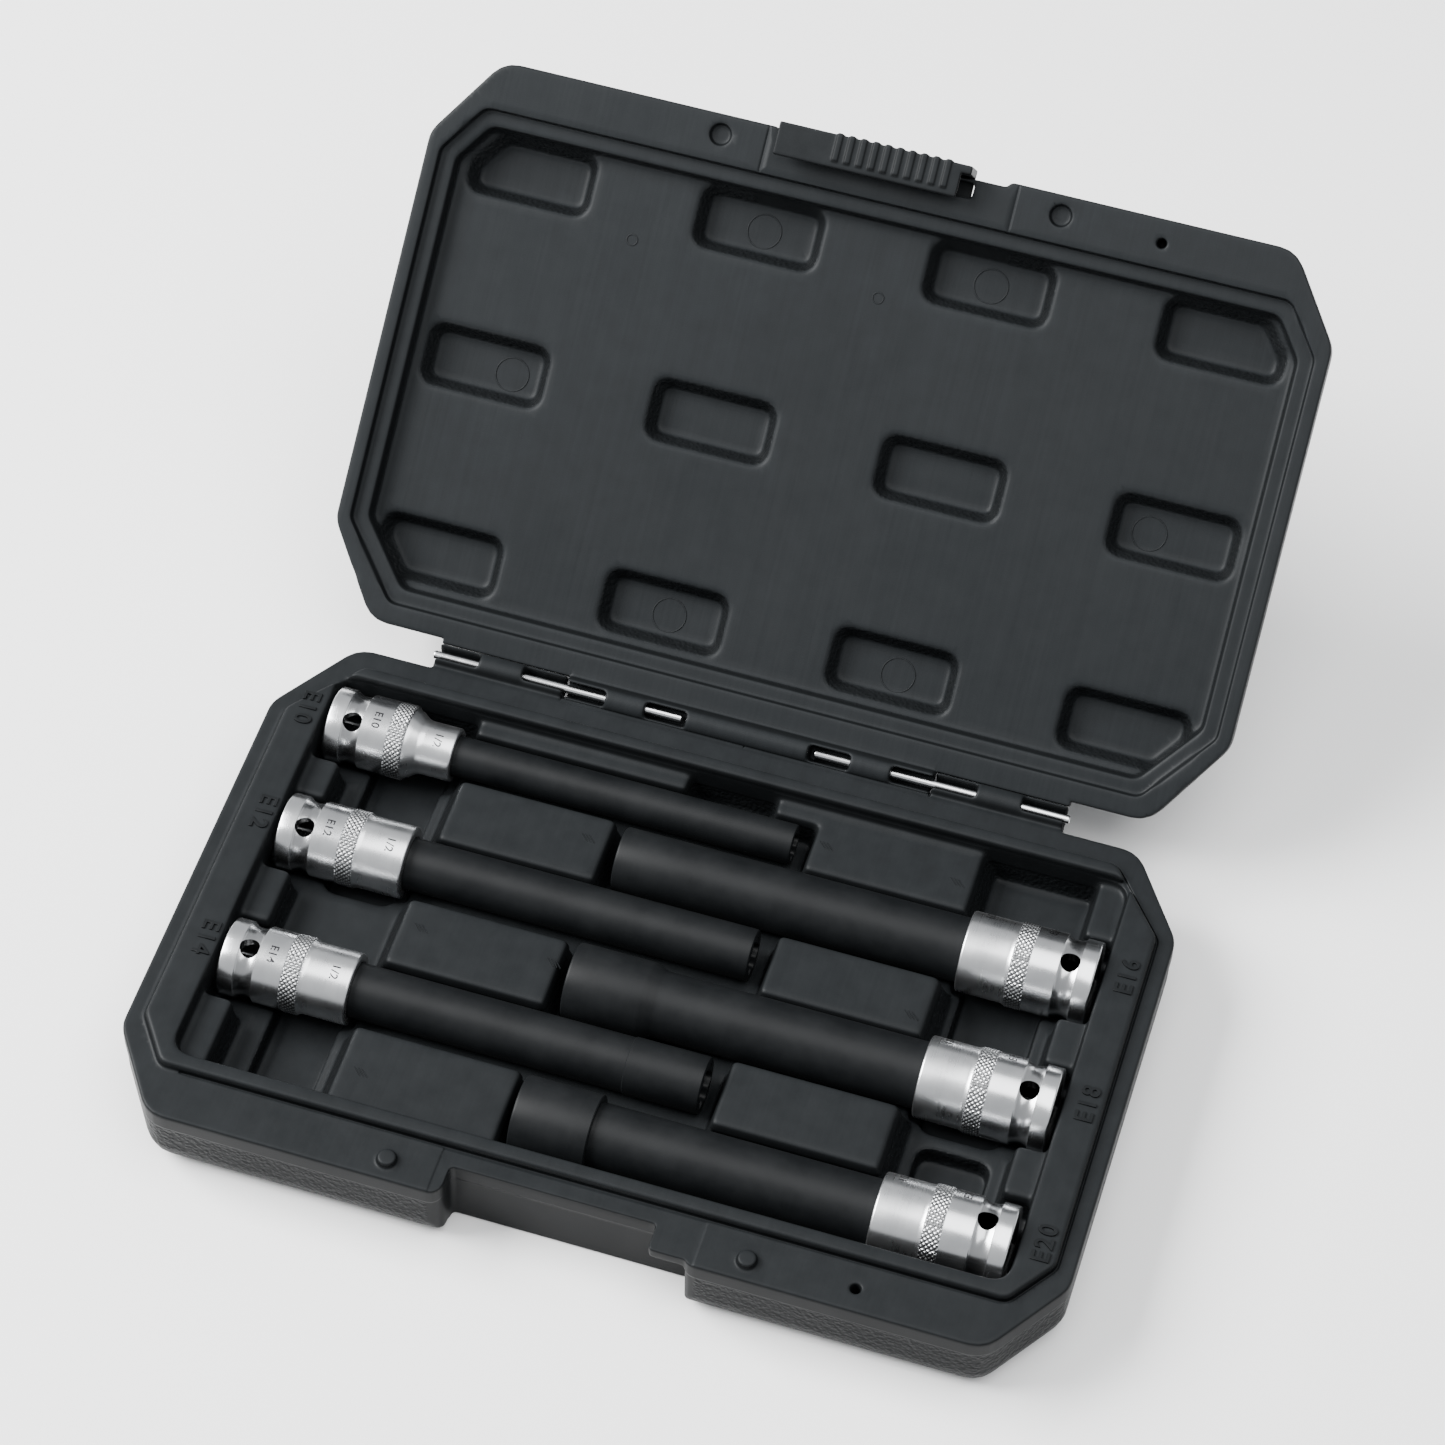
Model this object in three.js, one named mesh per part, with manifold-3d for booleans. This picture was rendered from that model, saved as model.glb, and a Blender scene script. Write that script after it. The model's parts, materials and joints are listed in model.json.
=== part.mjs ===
// Six long star sockets in a hinged carrying case: a base tray, a lid on two hinge pins, and a
// sliding latch on the lid's front rim. Each socket is a square-drive collar with a star shaft
// pressed into it.
//
// Millimetres, +Z up. The origin is the centre of the base's flat underside, +X runs along the
// hinge and +Y points to the hinge. The lid stands open against its stop.

import * as THREE from "three";
import { mergeVertices } from "three/addons/utils/BufferGeometryUtils.js";
import Module from "manifold-3d";

const wasm = await Module();
wasm.setup();

// ---------------------------------------------------------------- driving dimensions

// Case outline, an octagon shared by both shells.
const CASE_WIDTH = 271;
const CASE_DEPTH = 168;
const BACK_CUT = { x: 17.5, y: 26.2 };
const FRONT_CUT = { x: 16.8, y: 24.5 };
const CORNER_RADIUS = 9;
const EDGE_RADIUS = 8;
const BASE_HEIGHT = 25.2;
const LID_HEIGHT = 17;
const PARTING_GAP = 0.3;

// Raised land round the tray, and the recess in the lid that takes it.
const LAND = { halfWidth: 130.4, front: -68.9, back: 76.9, height: 2.3 };
const LAND_BACK_CUT = { x: 17, y: 21 };
const LAND_FRONT_CUT = { x: 10, y: 14 };
const LAND_RADIUS = 4;
const LAND_DRAFT = 0.7;
const LAND_CLEARANCE = { side: 0.8, top: 0.6 };

// Tray, with depths measured down from the parting plane.
const TRAY = { halfWidth: 119, front: -64, back: 72.4, radius: 5 };
const TRAY_WALL_LEAN = 0.05;
const DECK_DEPTH = 2.8;
const MIDDLE_DEPTH = 13;
const POCKET_DEPTH = 19.2;
const SEAT_CLEARANCE = { side: 0.5, end: 0.8 };
const POCKET_RADIUS = 3;

// Lid panel and its twelve dimples, with depths measured up from the parting plane.
const PANEL = { halfWidth: 126.1, depth: 7.5, draft: 0.6 };
const DIMPLE = { width: 38.7, length: 19.9, depth: 6.1, inset: 3.2, radius: 4.4, floorRadius: 2.4 };
const DIMPLE_COLUMNS = [-104.4, -34.8, 34.8, 104.4];
const DIMPLE_ROWS = [-54.7, 3.2, 60.7];
const DIMPLE_CORNER_CUT = { x: 7, y: 9 };

// Locating pegs and blow holes on the front flange.
const PEG = { x: 51, y: -78, radius: 2.75, height: 2, clearance: 0.4 };
const BLOW_HOLE = { x: 81, y: -77, radius: 1.5, depth: 7 };

// Hinge: its axis lies behind the case, just under the parting plane.
const OPEN_ANGLE = THREE.MathUtils.degToRad(141);
const HINGE = { y: CASE_DEPTH / 2 + 5, z: BASE_HEIGHT - 0.75 };
const KNUCKLE_RADIUS = 3.75;
const KNUCKLE_ROOT = 0.8;
const LID_KNUCKLE_END = 55.4;
const BASE_KNUCKLE = { inner: 55.8, outer: 95.4 };
const PIN = { radius: 1.25, inner: 20, outer: 96.5, clearance: 0.3, tip: 0.5, boreStart: 19.5 };
const WINDOW = { halfWidth: 2.2, reach: 6 };
const BASE_WINDOWS = [[55, 68.7], [82.2, 96]];
const LID_WINDOWS = [[18.5, 31], [43.2, 56]];

// Latch zone on the front rims, the fixed catch tab, and the sliding channel.
const LATCH_ZONE = { halfWidth: 34.1, wall: -74.3, innerRadius: 1, flare: 3.8 };
const CATCH = { left: 24.4, right: 36, front: -82.4, thickness: 4.5, radius: 1.2 };
const RAIL_FLARE = 1.5;
const RAIL_THICKNESS = 3.6;
const SLIDER = { left: -33.6, right: 24, lowLegEnd: 21.1, back: -75.6, wall: 1.7, web: 2.6, gap: 0.35 };
const LATCH_TRAVEL = 9.5;
const GUIDE_SLOT = { right: 24.7, front: -81.2, back: -76.8 };
const GUIDE_NIB = { length: 8, gap: 0.3 };
const RIBS = { count: 10, first: -16.3, pitch: 3.6, width: 1.7, height: 0.5 };

// Sockets, measured along each axis from the drive end.
const SOCKET_LENGTH = 140;
const SOCKET_DRIVE_X = 117;
const SOCKET_DEPTH = 6.1;
const DRIVE_SQUARE = 12.7;
const DRIVE_DEPTH = 15.5;
const CROSS_HOLE = { at: 7.5, radius: 2.85 };
const BAND = { neckStart: 4.9, neckEnd: 10.2, knurlStart: 18.5, knurlEnd: 23.5, end: 37.8 };
const NECK_DEPTH = 1.2;
const KNURL_RISE = 0.15;
const SHAFT_START = 18.5;
const PRESS_GAP = 0.15;
const STAR_DEPTH = 14;
const HEAD_START = 118;
const HEAD_SEAT_START = 112;
const TURNED_SEGMENTS = 28;

// The three smaller sockets have the narrower collar and lie with the drive end at the left wall
// (side -1); the larger ones have the drive end at the right wall (side 1). turn is the angle of
// the cross hole from straight up.
const BAND_RADIUS = { small: 11.05, large: 12.2 };
const SOCKETS = [
  { size: "e10", side: -1, y: 59.95, turn: 24, body: 7.95, shaft: 5.9, head: 5.9, star: 9.42 },
  { size: "e12", side: -1, y: 19.95, turn: 20, body: 10.6, shaft: 7.55, head: 7.55, star: 11.17 },
  { size: "e14", side: -1, y: -25.3, turn: 11, body: 10.4, shaft: 7.9, head: 8.2, star: 12.9 },
  { size: "e16", side: 1, y: 40.05, turn: -10, body: 11.7, shaft: 9.4, head: 9.4, star: 14.76 },
  { size: "e18", side: 1, y: -3.67, turn: -11, body: 11.7, shaft: 9.6, head: 11.1, star: 16.7, taper: 4 },
  { size: "e20", side: 1, y: -49.6, turn: 3, body: 11.7, shaft: 9.35, head: 11.2, star: 18.45 },
];
const bandOf = ({ side }) => (side < 0 ? BAND_RADIUS.small : BAND_RADIUS.large);

// Pillows between the shafts. lean is how far each wall spreads for each millimetre of height.
const PILLOW_LEAN = { end: 0.25, collar: 0.45, side: 0.17 };
const BLOCK_LEAN = { left: 0.2, right: 0.2, side: 0.05 };
const PILLOWS = [
  { left: -73.8, right: -27.6, front: 28.5, back: 50.2 },
  { left: -74.1, right: -27.6, front: -15.6, back: 6.9 },
  { left: -74.2, right: -26.2, front: -66, back: -38 },
  { left: 28.5, right: 75.7, front: 50.8, back: 74 },
  { left: 28.7, right: 75, front: 7, back: 27.1 },
  { left: 28.5, right: 75.7, front: -38, back: -16.6 },
];
const BACK_LEDGES = [
  { left: -75.7, right: -12.1, front: 66.7, back: 74 },
  { left: 15, right: 40, front: 66.7, back: 74 },
];
const WALL_BLOCKS = [
  { left: -121, right: -110, front: 31.6, back: 45.3 },
  { left: -121, right: -110, front: -13.1, back: 5.1 },
  { left: -121, right: -110, front: -66, back: -40.6 },
  { left: 110.2, right: 121, front: 53.4, back: 74 },
  { left: 110.2, right: 121, front: 9.3, back: 24.9 },
  { left: 110.2, right: 121, front: -34.6, back: -18.7 },
];
const POCKETS = [
  { left: -102, right: -82, front: 9, back: 71 },
  { left: -100, right: -82, front: -62.5, back: -24 },
  { left: 82, right: 104, front: -16, back: 55 },
  { left: 84, right: 103.8, front: -61.5, back: -21.5 },
];

// ---------------------------------------------------------------- shape helpers

const point = (x, y) => new THREE.Vector2(x, y);

// A rectangle's corners, counterclockwise from front left, each cut back where asked.
function cutRectangle({ left, right, front, back }, frontCut, backCut) {
  return [
    point(left + frontCut.x, front),
    point(right - frontCut.x, front),
    point(right, front + frontCut.y),
    point(right, back - backCut.y),
    point(right - backCut.x, back),
    point(left + backCut.x, back),
    point(left, back - backCut.y),
    point(left, front + frontCut.y),
  ];
}

function rectangle({ left, right, front, back }) {
  return [point(left, front), point(right, front), point(right, back), point(left, back)];
}

// Moves every side of a convex counterclockwise outline inwards by a distance.
function inset(corners, distance) {
  return corners.map((corner, i) => {
    const into = corner.clone().sub(corners.at(i - 1)).normalize();
    const out = corners[(i + 1) % corners.length].clone().sub(corner).normalize();
    const half = Math.acos(into.dot(out)) / 2;
    const inward = point(-into.y - out.y, into.x + out.x).normalize();
    return corner.clone().addScaledVector(inward, distance / Math.cos(half));
  });
}

// Replaces every corner of a convex counterclockwise outline with an arc.
function rounded(corners, radius, steps = 3) {
  return corners.flatMap((corner, i) => {
    const into = corner.clone().sub(corners.at(i - 1)).normalize();
    const out = corners[(i + 1) % corners.length].clone().sub(corner).normalize();
    const turn = Math.acos(into.dot(out));
    const start = corner.clone().addScaledVector(into, -radius * Math.tan(turn / 2));
    const centre = point(start.x - into.y * radius, start.y + into.x * radius);
    return Array.from({ length: steps + 1 }, (_, k) =>
      start.clone().rotateAround(centre, (turn * k) / steps),
    );
  });
}

// Skins outlines of equal point count, stacked upwards, and caps both ends.
function loft(sections) {
  const count = sections[0].outline.length;
  const positions = sections.flatMap(({ outline, z }) => outline.flatMap((p) => [p.x, p.y, z]));
  const top = (sections.length - 1) * count;
  const index = [];
  for (const [a, b, c] of THREE.ShapeUtils.triangulateShape(sections[0].outline, [])) {
    index.push(c, b, a, top + a, top + b, top + c);
  }
  for (let level = 0; level < top; level += count) {
    for (let i = 0; i < count; i += 1) {
      const a = level + i;
      const b = level + ((i + 1) % count);
      index.push(a, b, b + count, a, b + count, a + count);
    }
  }
  const geometry = new THREE.BufferGeometry();
  geometry.setAttribute("position", new THREE.Float32BufferAttribute(positions, 3));
  return geometry.setIndex(index);
}

const slab = (outline, low, high) => loft([{ outline, z: low }, { outline, z: high }]);

const box = (bounds, low, high) => slab(rectangle(bounds), low, high);

// A block whose four walls spread downwards from its top face.
function spreadBlock({ left, right, front, back }, low, high, lean) {
  const drop = high - low;
  const foot = {
    left: left - drop * lean.left,
    right: right + drop * lean.right,
    front: front - drop * lean.side,
    back: back + drop * lean.side,
  };
  return loft([
    { outline: rectangle(foot), z: low },
    { outline: rectangle({ left, right, front, back }), z: high },
  ]);
}

// A turned shape along +X from a profile of [distance along the axis, radius] points.
function turned(profile, segments = TURNED_SEGMENTS) {
  const first = [profile[0][0], 0];
  const last = [profile.at(-1)[0], 0];
  const points = [first, ...profile, last].map(([along, radius]) => point(radius, along));
  return new THREE.LatheGeometry(points, segments).rotateZ(-Math.PI / 2);
}

const rod = (left, right, radius, segments) =>
  turned([[left, radius], [right, radius]], segments);

const upright = (x, y, low, high, radius, segments = 16) =>
  new THREE.CylinderGeometry(radius, radius, high - low, segments)
    .rotateX(Math.PI / 2)
    .translate(x, y, (low + high) / 2);

// A closed geometry as a solid for joining and cutting.
function solid(geometry) {
  const bare = geometry.clone();
  bare.deleteAttribute("normal");
  bare.deleteAttribute("uv");
  const merged = mergeVertices(bare, 1e-4);
  const faces = [];
  for (let i = 0; i < merged.index.count; i += 3) {
    const [a, b, c] = [0, 1, 2].map((k) => merged.index.getX(i + k));
    if (a !== b && b !== c && a !== c) faces.push(a, b, c);
  }
  return new wasm.Manifold(
    new wasm.Mesh({
      numProp: 3,
      vertProperties: merged.attributes.position.array,
      triVerts: new Uint32Array(faces),
    }),
  );
}

const join = (start, geometries) => geometries.reduce((made, g) => made.add(solid(g)), start);

const cut = (start, geometries) => geometries.reduce((made, g) => made.subtract(solid(g)), start);

function geometryOf(made) {
  const { numProp, vertProperties, triVerts } = made.getMesh();
  const positions = [];
  for (let i = 0; i < vertProperties.length; i += numProp) {
    positions.push(vertProperties[i], vertProperties[i + 1], vertProperties[i + 2]);
  }
  const geometry = new THREE.BufferGeometry();
  geometry.setAttribute("position", new THREE.Float32BufferAttribute(positions, 3));
  geometry.setIndex(new THREE.BufferAttribute(triVerts, 1));
  geometry.computeVertexNormals();
  return geometry;
}

function named(name, geometry, colour, roughness, metalness) {
  const material = new THREE.MeshStandardMaterial({ color: colour, roughness, metalness });
  const mesh = new THREE.Mesh(geometry, material);
  mesh.name = name;
  return mesh;
}

const caseMoulding = (name, made) => named(name, geometryOf(made), 0x232527, 0.62, 0);

// ---------------------------------------------------------------- shared case outlines

const CASE_OUTLINE = cutRectangle(
  {
    left: -CASE_WIDTH / 2,
    right: CASE_WIDTH / 2,
    front: -CASE_DEPTH / 2,
    back: CASE_DEPTH / 2,
  },
  FRONT_CUT,
  BACK_CUT,
);

const LAND_OUTLINE = cutRectangle(
  { left: -LAND.halfWidth, right: LAND.halfWidth, front: LAND.front, back: LAND.back },
  LAND_FRONT_CUT,
  LAND_BACK_CUT,
);

const TRAY_BOUNDS = {
  left: -TRAY.halfWidth,
  right: TRAY.halfWidth,
  front: TRAY.front,
  back: TRAY.back,
};

// Shrinks along a quarter circle: how far an edge of EDGE_RADIUS has drawn in at each height.
const EDGE_STEPS = [0, 30, 60, 90].map((angle) => {
  const a = THREE.MathUtils.degToRad(angle);
  return { rise: EDGE_RADIUS * (1 - Math.cos(a)), draw: EDGE_RADIUS * (1 - Math.sin(a)) };
});

const caseSection = (draw, z) => ({
  outline: rounded(inset(CASE_OUTLINE, draw), CORNER_RADIUS - draw * 0.5),
  z,
});

// An arc of the latch zone's outline, given its centre, radius and two angles in degrees.
const zoneArc = (x, y, radius, from, to) =>
  [0, 1, 2, 3].map((step) => {
    const angle = THREE.MathUtils.degToRad(from + ((to - from) * step) / 3);
    return point(x + radius * Math.cos(angle), y + radius * Math.sin(angle));
  });

// A room in the front rim in plan: its corners are round at the wall and flare at the case's front.
function frontRoom(wall, innerRadius, flare, low, high) {
  const { halfWidth } = LATCH_ZONE;
  const front = -CASE_DEPTH / 2;
  const beyond = front - 12;
  const rightSide = [
    point(halfWidth + flare, beyond),
    ...zoneArc(halfWidth + flare, front + flare, flare, 270, 180),
    ...zoneArc(halfWidth - innerRadius, wall - innerRadius, innerRadius, 0, 90),
  ];
  const leftSide = rightSide.map(({ x, y }) => point(-x, y)).reverse();
  return slab([...rightSide, ...leftSide], low, high);
}

function latchZone(low, high) {
  return frontRoom(LATCH_ZONE.wall, LATCH_ZONE.innerRadius, LATCH_ZONE.flare, low, high);
}

// ---------------------------------------------------------------- hinge knuckles

// A barrel joined to its shell by a web. towardsUp is true on the base, whose windows open
// upwards, and false on the lid, whose windows open downwards when it is closed.
function knuckle(left, right, towardsUp) {
  const barrel = solid(rod(left, right, KNUCKLE_RADIUS, 20).translate(0, HINGE.y, HINGE.z));
  const web = { left, right, front: CASE_DEPTH / 2 - KNUCKLE_ROOT, back: HINGE.y };
  return towardsUp
    ? join(barrel, [box(web, HINGE.z - KNUCKLE_RADIUS, HINGE.z + 0.2)])
    : join(barrel, [box(web, BASE_HEIGHT + PARTING_GAP, HINGE.z + KNUCKLE_RADIUS)]);
}

function knuckleHollows(windows, towardsUp) {
  const boreRadius = PIN.radius + PIN.clearance;
  const bores = [-1, 1].map((side) => {
    const ends = [side * PIN.boreStart, side * (BASE_KNUCKLE.outer + 1)].sort((a, b) => a - b);
    return rod(ends[0], ends[1], boreRadius, 16).translate(0, HINGE.y, HINGE.z);
  });
  const [low, high] = towardsUp
    ? [HINGE.z - WINDOW.halfWidth, HINGE.z + WINDOW.reach]
    : [HINGE.z - WINDOW.reach, HINGE.z + WINDOW.halfWidth];
  const openings = [-1, 1].flatMap((side) =>
    windows.map((span) => {
      const [left, right] = span.map((x) => x * side).sort((a, b) => a - b);
      const front = HINGE.y - WINDOW.halfWidth;
      return box({ left, right, front, back: HINGE.y + WINDOW.halfWidth }, low, high);
    }),
  );
  return [...bores, ...openings];
}

// ---------------------------------------------------------------- base

function pillow(bounds) {
  const onLeft = bounds.left < 0;
  const lean = {
    left: onLeft ? PILLOW_LEAN.collar : PILLOW_LEAN.end,
    right: onLeft ? PILLOW_LEAN.end : PILLOW_LEAN.collar,
    side: PILLOW_LEAN.side,
  };
  return spreadBlock(bounds, BASE_HEIGHT - MIDDLE_DEPTH - 1, BASE_HEIGHT - DECK_DEPTH, lean);
}

const wallBlock = (bounds) =>
  spreadBlock(bounds, BASE_HEIGHT - MIDDLE_DEPTH - 1, BASE_HEIGHT - DECK_DEPTH, BLOCK_LEAN);

function trayHollow() {
  const high = BASE_HEIGHT + LAND.height + 1;
  const low = BASE_HEIGHT - MIDDLE_DEPTH;
  const corners = rectangle(TRAY_BOUNDS);
  return loft([
    { outline: rounded(inset(corners, (high - low) * TRAY_WALL_LEAN), TRAY.radius), z: low },
    { outline: rounded(corners, TRAY.radius), z: high },
  ]);
}

// The room that one stretch of a socket needs: a half-round seat, open upwards.
function seat(socket, from, to, radius) {
  const axisZ = BASE_HEIGHT - SOCKET_DEPTH;
  const ends = [from, to].map((along) => socket.side * (SOCKET_DRIVE_X - along));
  const [left, right] = ends.sort((a, b) => a - b);
  const room = radius + SEAT_CLEARANCE.side;
  const bounds = { left, right, front: socket.y - room, back: socket.y + room };
  return [
    rod(left, right, room, 32).translate(0, socket.y, axisZ),
    box(bounds, axisZ, BASE_HEIGHT + LAND.height + 1),
  ];
}

function socketSeats(socket) {
  const { end } = SEAT_CLEARANCE;
  return [
    ...seat(socket, -end, BAND.end + end, bandOf(socket) + KNURL_RISE),
    ...seat(socket, BAND.end, HEAD_SEAT_START + 1, socket.shaft),
    ...seat(socket, HEAD_SEAT_START, SOCKET_LENGTH + end, socket.head),
  ];
}

function makeBase() {
  const parting = BASE_HEIGHT;
  const wall = EDGE_STEPS.map(({ rise, draw }) => caseSection(draw, rise));
  let base = solid(loft([...wall, caseSection(0, parting)]));
  base = join(base, [
    loft([
      { outline: rounded(LAND_OUTLINE, LAND_RADIUS), z: parting - 1 },
      { outline: rounded(LAND_OUTLINE, LAND_RADIUS), z: parting + LAND.height / 2 },
      { outline: rounded(inset(LAND_OUTLINE, LAND_DRAFT), LAND_RADIUS), z: parting + LAND.height },
    ]),
  ]);
  base = cut(base, [trayHollow()]);
  base = join(base, [...PILLOWS.map(pillow), ...[...BACK_LEDGES, ...WALL_BLOCKS].map(wallBlock)]);
  base = cut(base, SOCKETS.flatMap(socketSeats));
  base = cut(
    base,
    POCKETS.map((pocket) => {
      const outline = rounded(rectangle(pocket), POCKET_RADIUS);
      return slab(outline, parting - POCKET_DEPTH, parting - MIDDLE_DEPTH + 1);
    }),
  );
  base = cut(base, [latchZone(-1, parting + 1)]);
  base = join(base, [
    slab(
      rounded(rectangle({ ...CATCH, back: LATCH_ZONE.wall + 3 }), CATCH.radius),
      parting - CATCH.thickness,
      parting,
    ),
    ...[-1, 1].map((side) =>
      upright(side * PEG.x, PEG.y, parting - 1, parting + PEG.height, PEG.radius),
    ),
  ]);
  for (const side of [-1, 1]) {
    const [left, right] = [side * BASE_KNUCKLE.inner, side * BASE_KNUCKLE.outer].sort((a, b) => a - b);
    base = base.add(knuckle(left, right, true));
  }
  return cut(base, [
    ...knuckleHollows(BASE_WINDOWS, true),
    upright(BLOW_HOLE.x, BLOW_HOLE.y, parting - BLOW_HOLE.depth, parting + 1, BLOW_HOLE.radius),
  ]);
}

// ---------------------------------------------------------------- lid

// One dimple in plan. The four corner dimples lose the corner nearest the case's corner.
function dimpleOutline(x, y, grow) {
  const halfWidth = DIMPLE.width / 2 + grow;
  const halfLength = DIMPLE.length / 2 + grow;
  const corners = rectangle({
    left: x - halfWidth,
    right: x + halfWidth,
    front: y - halfLength,
    back: y + halfLength,
  });
  const isCornerDimple = Math.abs(x) > 100 && y !== DIMPLE_ROWS[1];
  if (!isCornerDimple) return corners;
  const onBack = y > 0;
  const cutIndex = x > 0 ? (onBack ? 2 : 1) : onBack ? 3 : 0;
  return corners.flatMap((corner, i) => {
    if (i !== cutIndex) return [corner];
    const alongX = point(corner.x - Math.sign(x) * DIMPLE_CORNER_CUT.x, corner.y);
    const alongY = point(corner.x, corner.y - Math.sign(y) * DIMPLE_CORNER_CUT.y);
    return cutIndex % 2 === 0 ? [alongY, alongX] : [alongX, alongY];
  });
}

function dimple(x, y) {
  const floor = BASE_HEIGHT + PANEL.depth;
  return loft([
    { outline: rounded(dimpleOutline(x, y, 0), DIMPLE.radius), z: floor - 0.5 },
    { outline: rounded(dimpleOutline(x, y, -DIMPLE.inset), DIMPLE.floorRadius), z: floor + DIMPLE.depth },
  ]);
}

// The lid in its closed place over the base.
function makeClosedLid() {
  const underside = BASE_HEIGHT + PARTING_GAP;
  const top = BASE_HEIGHT + LID_HEIGHT;
  const wall = EDGE_STEPS.map(({ rise, draw }) => caseSection(draw, top - rise)).reverse();
  let lid = solid(loft([caseSection(0, underside), ...wall]));
  const landRoom = rounded(inset(LAND_OUTLINE, -LAND_CLEARANCE.side), LAND_RADIUS);
  const panelOutline = inset(LAND_OUTLINE, LAND.halfWidth - PANEL.halfWidth);
  lid = cut(lid, [
    slab(landRoom, underside - 1, BASE_HEIGHT + LAND.height + LAND_CLEARANCE.top),
    loft([
      { outline: rounded(inset(panelOutline, -PANEL.draft), LAND_RADIUS), z: underside },
      { outline: rounded(panelOutline, LAND_RADIUS), z: BASE_HEIGHT + PANEL.depth },
    ]),
    ...DIMPLE_COLUMNS.flatMap((x) => DIMPLE_ROWS.map((y) => dimple(x, y))),
  ]);
  const railTop = BASE_HEIGHT + RAIL_THICKNESS;
  lid = cut(lid, [
    latchZone(railTop, top + 1),
    frontRoom(CATCH.front, 0.1, RAIL_FLARE, underside - 1, railTop + 1),
    box(
      {
        ...GUIDE_SLOT,
        left: GUIDE_SLOT.right - LATCH_TRAVEL - GUIDE_NIB.length - 2 * GUIDE_NIB.gap,
      },
      underside - 1,
      railTop + 1,
    ),
    ...[-1, 1].map((side) => {
      const roof = BASE_HEIGHT + PEG.height + PEG.clearance;
      return upright(side * PEG.x, PEG.y, underside - 1, roof, PEG.radius + PEG.clearance);
    }),
    upright(BLOW_HOLE.x, BLOW_HOLE.y, underside - 1, underside + BLOW_HOLE.depth, BLOW_HOLE.radius),
  ]);
  lid = lid.add(knuckle(-LID_KNUCKLE_END, LID_KNUCKLE_END, false));
  return cut(lid, knuckleHollows(LID_WINDOWS, false));
}

// ---------------------------------------------------------------- latch slider

// A channel that grips the lid's rail and, slid to the right, the base's catch tab under it.
function makeClosedSlider() {
  const { left, right, lowLegEnd, back, wall, web, gap } = SLIDER;
  const lowInner = BASE_HEIGHT - CATCH.thickness - gap;
  const highInner = BASE_HEIGHT + RAIL_THICKNESS + gap;
  const webFront = CATCH.front - gap - web;
  const body = { left, right, front: webFront, back };
  let slider = solid(box(body, lowInner - wall, highInner + wall));
  slider = cut(slider, [
    box({ left: left - 1, right: right + 1, front: webFront + web, back: back + 1 }, lowInner, highInner),
    box(
      { left: lowLegEnd, right: right + 1, front: webFront + web, back: back + 1 },
      lowInner - wall - 1,
      lowInner + 1,
    ),
  ]);
  const nibRight = GUIDE_SLOT.right - LATCH_TRAVEL - GUIDE_NIB.gap;
  const nib = {
    left: nibRight - GUIDE_NIB.length,
    right: nibRight,
    front: GUIDE_SLOT.front + GUIDE_NIB.gap,
    back: GUIDE_SLOT.back - GUIDE_NIB.gap,
  };
  const ribs = Array.from({ length: RIBS.count }, (_, k) => {
    const ribLeft = RIBS.first + k * RIBS.pitch;
    return box(
      {
        left: ribLeft,
        right: ribLeft + RIBS.width,
        front: webFront - RIBS.height,
        back: back - 2,
      },
      lowInner - wall - RIBS.height,
      highInner + wall - 1,
    );
  });
  const channelRoom = { left: left - 1, right: right + 1, front: webFront + 1, back: back + 1 };
  const ribSet = cut(join(solid(ribs[0]), ribs.slice(1)), [
    box(channelRoom, lowInner - wall + 0.5, highInner + wall),
  ]);
  return join(slider.add(ribSet), [
    box(nib, BASE_HEIGHT + PARTING_GAP + 0.6, highInner + 0.5),
  ]);
}

// ---------------------------------------------------------------- sockets

function makeCollar(socket) {
  const { body, shaft, turn } = socket;
  const band = bandOf(socket);
  const groove = band - NECK_DEPTH;
  const profile = [
    [0, band - 0.8],
    [0.8, band],
    [BAND.neckStart, band],
    [BAND.neckStart + 1.1, groove],
    [BAND.neckEnd - 1.1, groove],
    [BAND.neckEnd, band],
    [BAND.knurlStart, band],
    [BAND.knurlStart + 0.2, band + KNURL_RISE],
    [BAND.knurlEnd, band + KNURL_RISE],
    [BAND.knurlEnd + (band - body) + 0.4, body],
    [BAND.end - 0.6, body],
    [BAND.end, body - 0.6],
  ];
  const half = DRIVE_SQUARE / 2;
  const square = new THREE.BoxGeometry(DRIVE_DEPTH + 1, DRIVE_SQUARE, DRIVE_SQUARE);
  const crossHole = upright(CROSS_HOLE.at, 0, half - 1, band + 1, CROSS_HOLE.radius, 14);
  const made = cut(solid(turned(profile)), [
    square.translate((DRIVE_DEPTH - 1) / 2, 0, 0),
    crossHole,
    rod(SHAFT_START - PRESS_GAP * 2, BAND.end + 1, shaft + PRESS_GAP),
  ]);
  return geometryOf(made).rotateX(THREE.MathUtils.degToRad(turn));
}

// The six-lobed hollow of a star socket, measured across its points.
function starOutline(acrossPoints) {
  const reach = acrossPoints / 2;
  return Array.from({ length: 36 }, (_, k) => {
    const angle = (k * Math.PI) / 18;
    const radius = reach * (0.87 + 0.13 * Math.cos(6 * angle));
    return point(radius * Math.cos(angle), radius * Math.sin(angle));
  });
}

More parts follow.
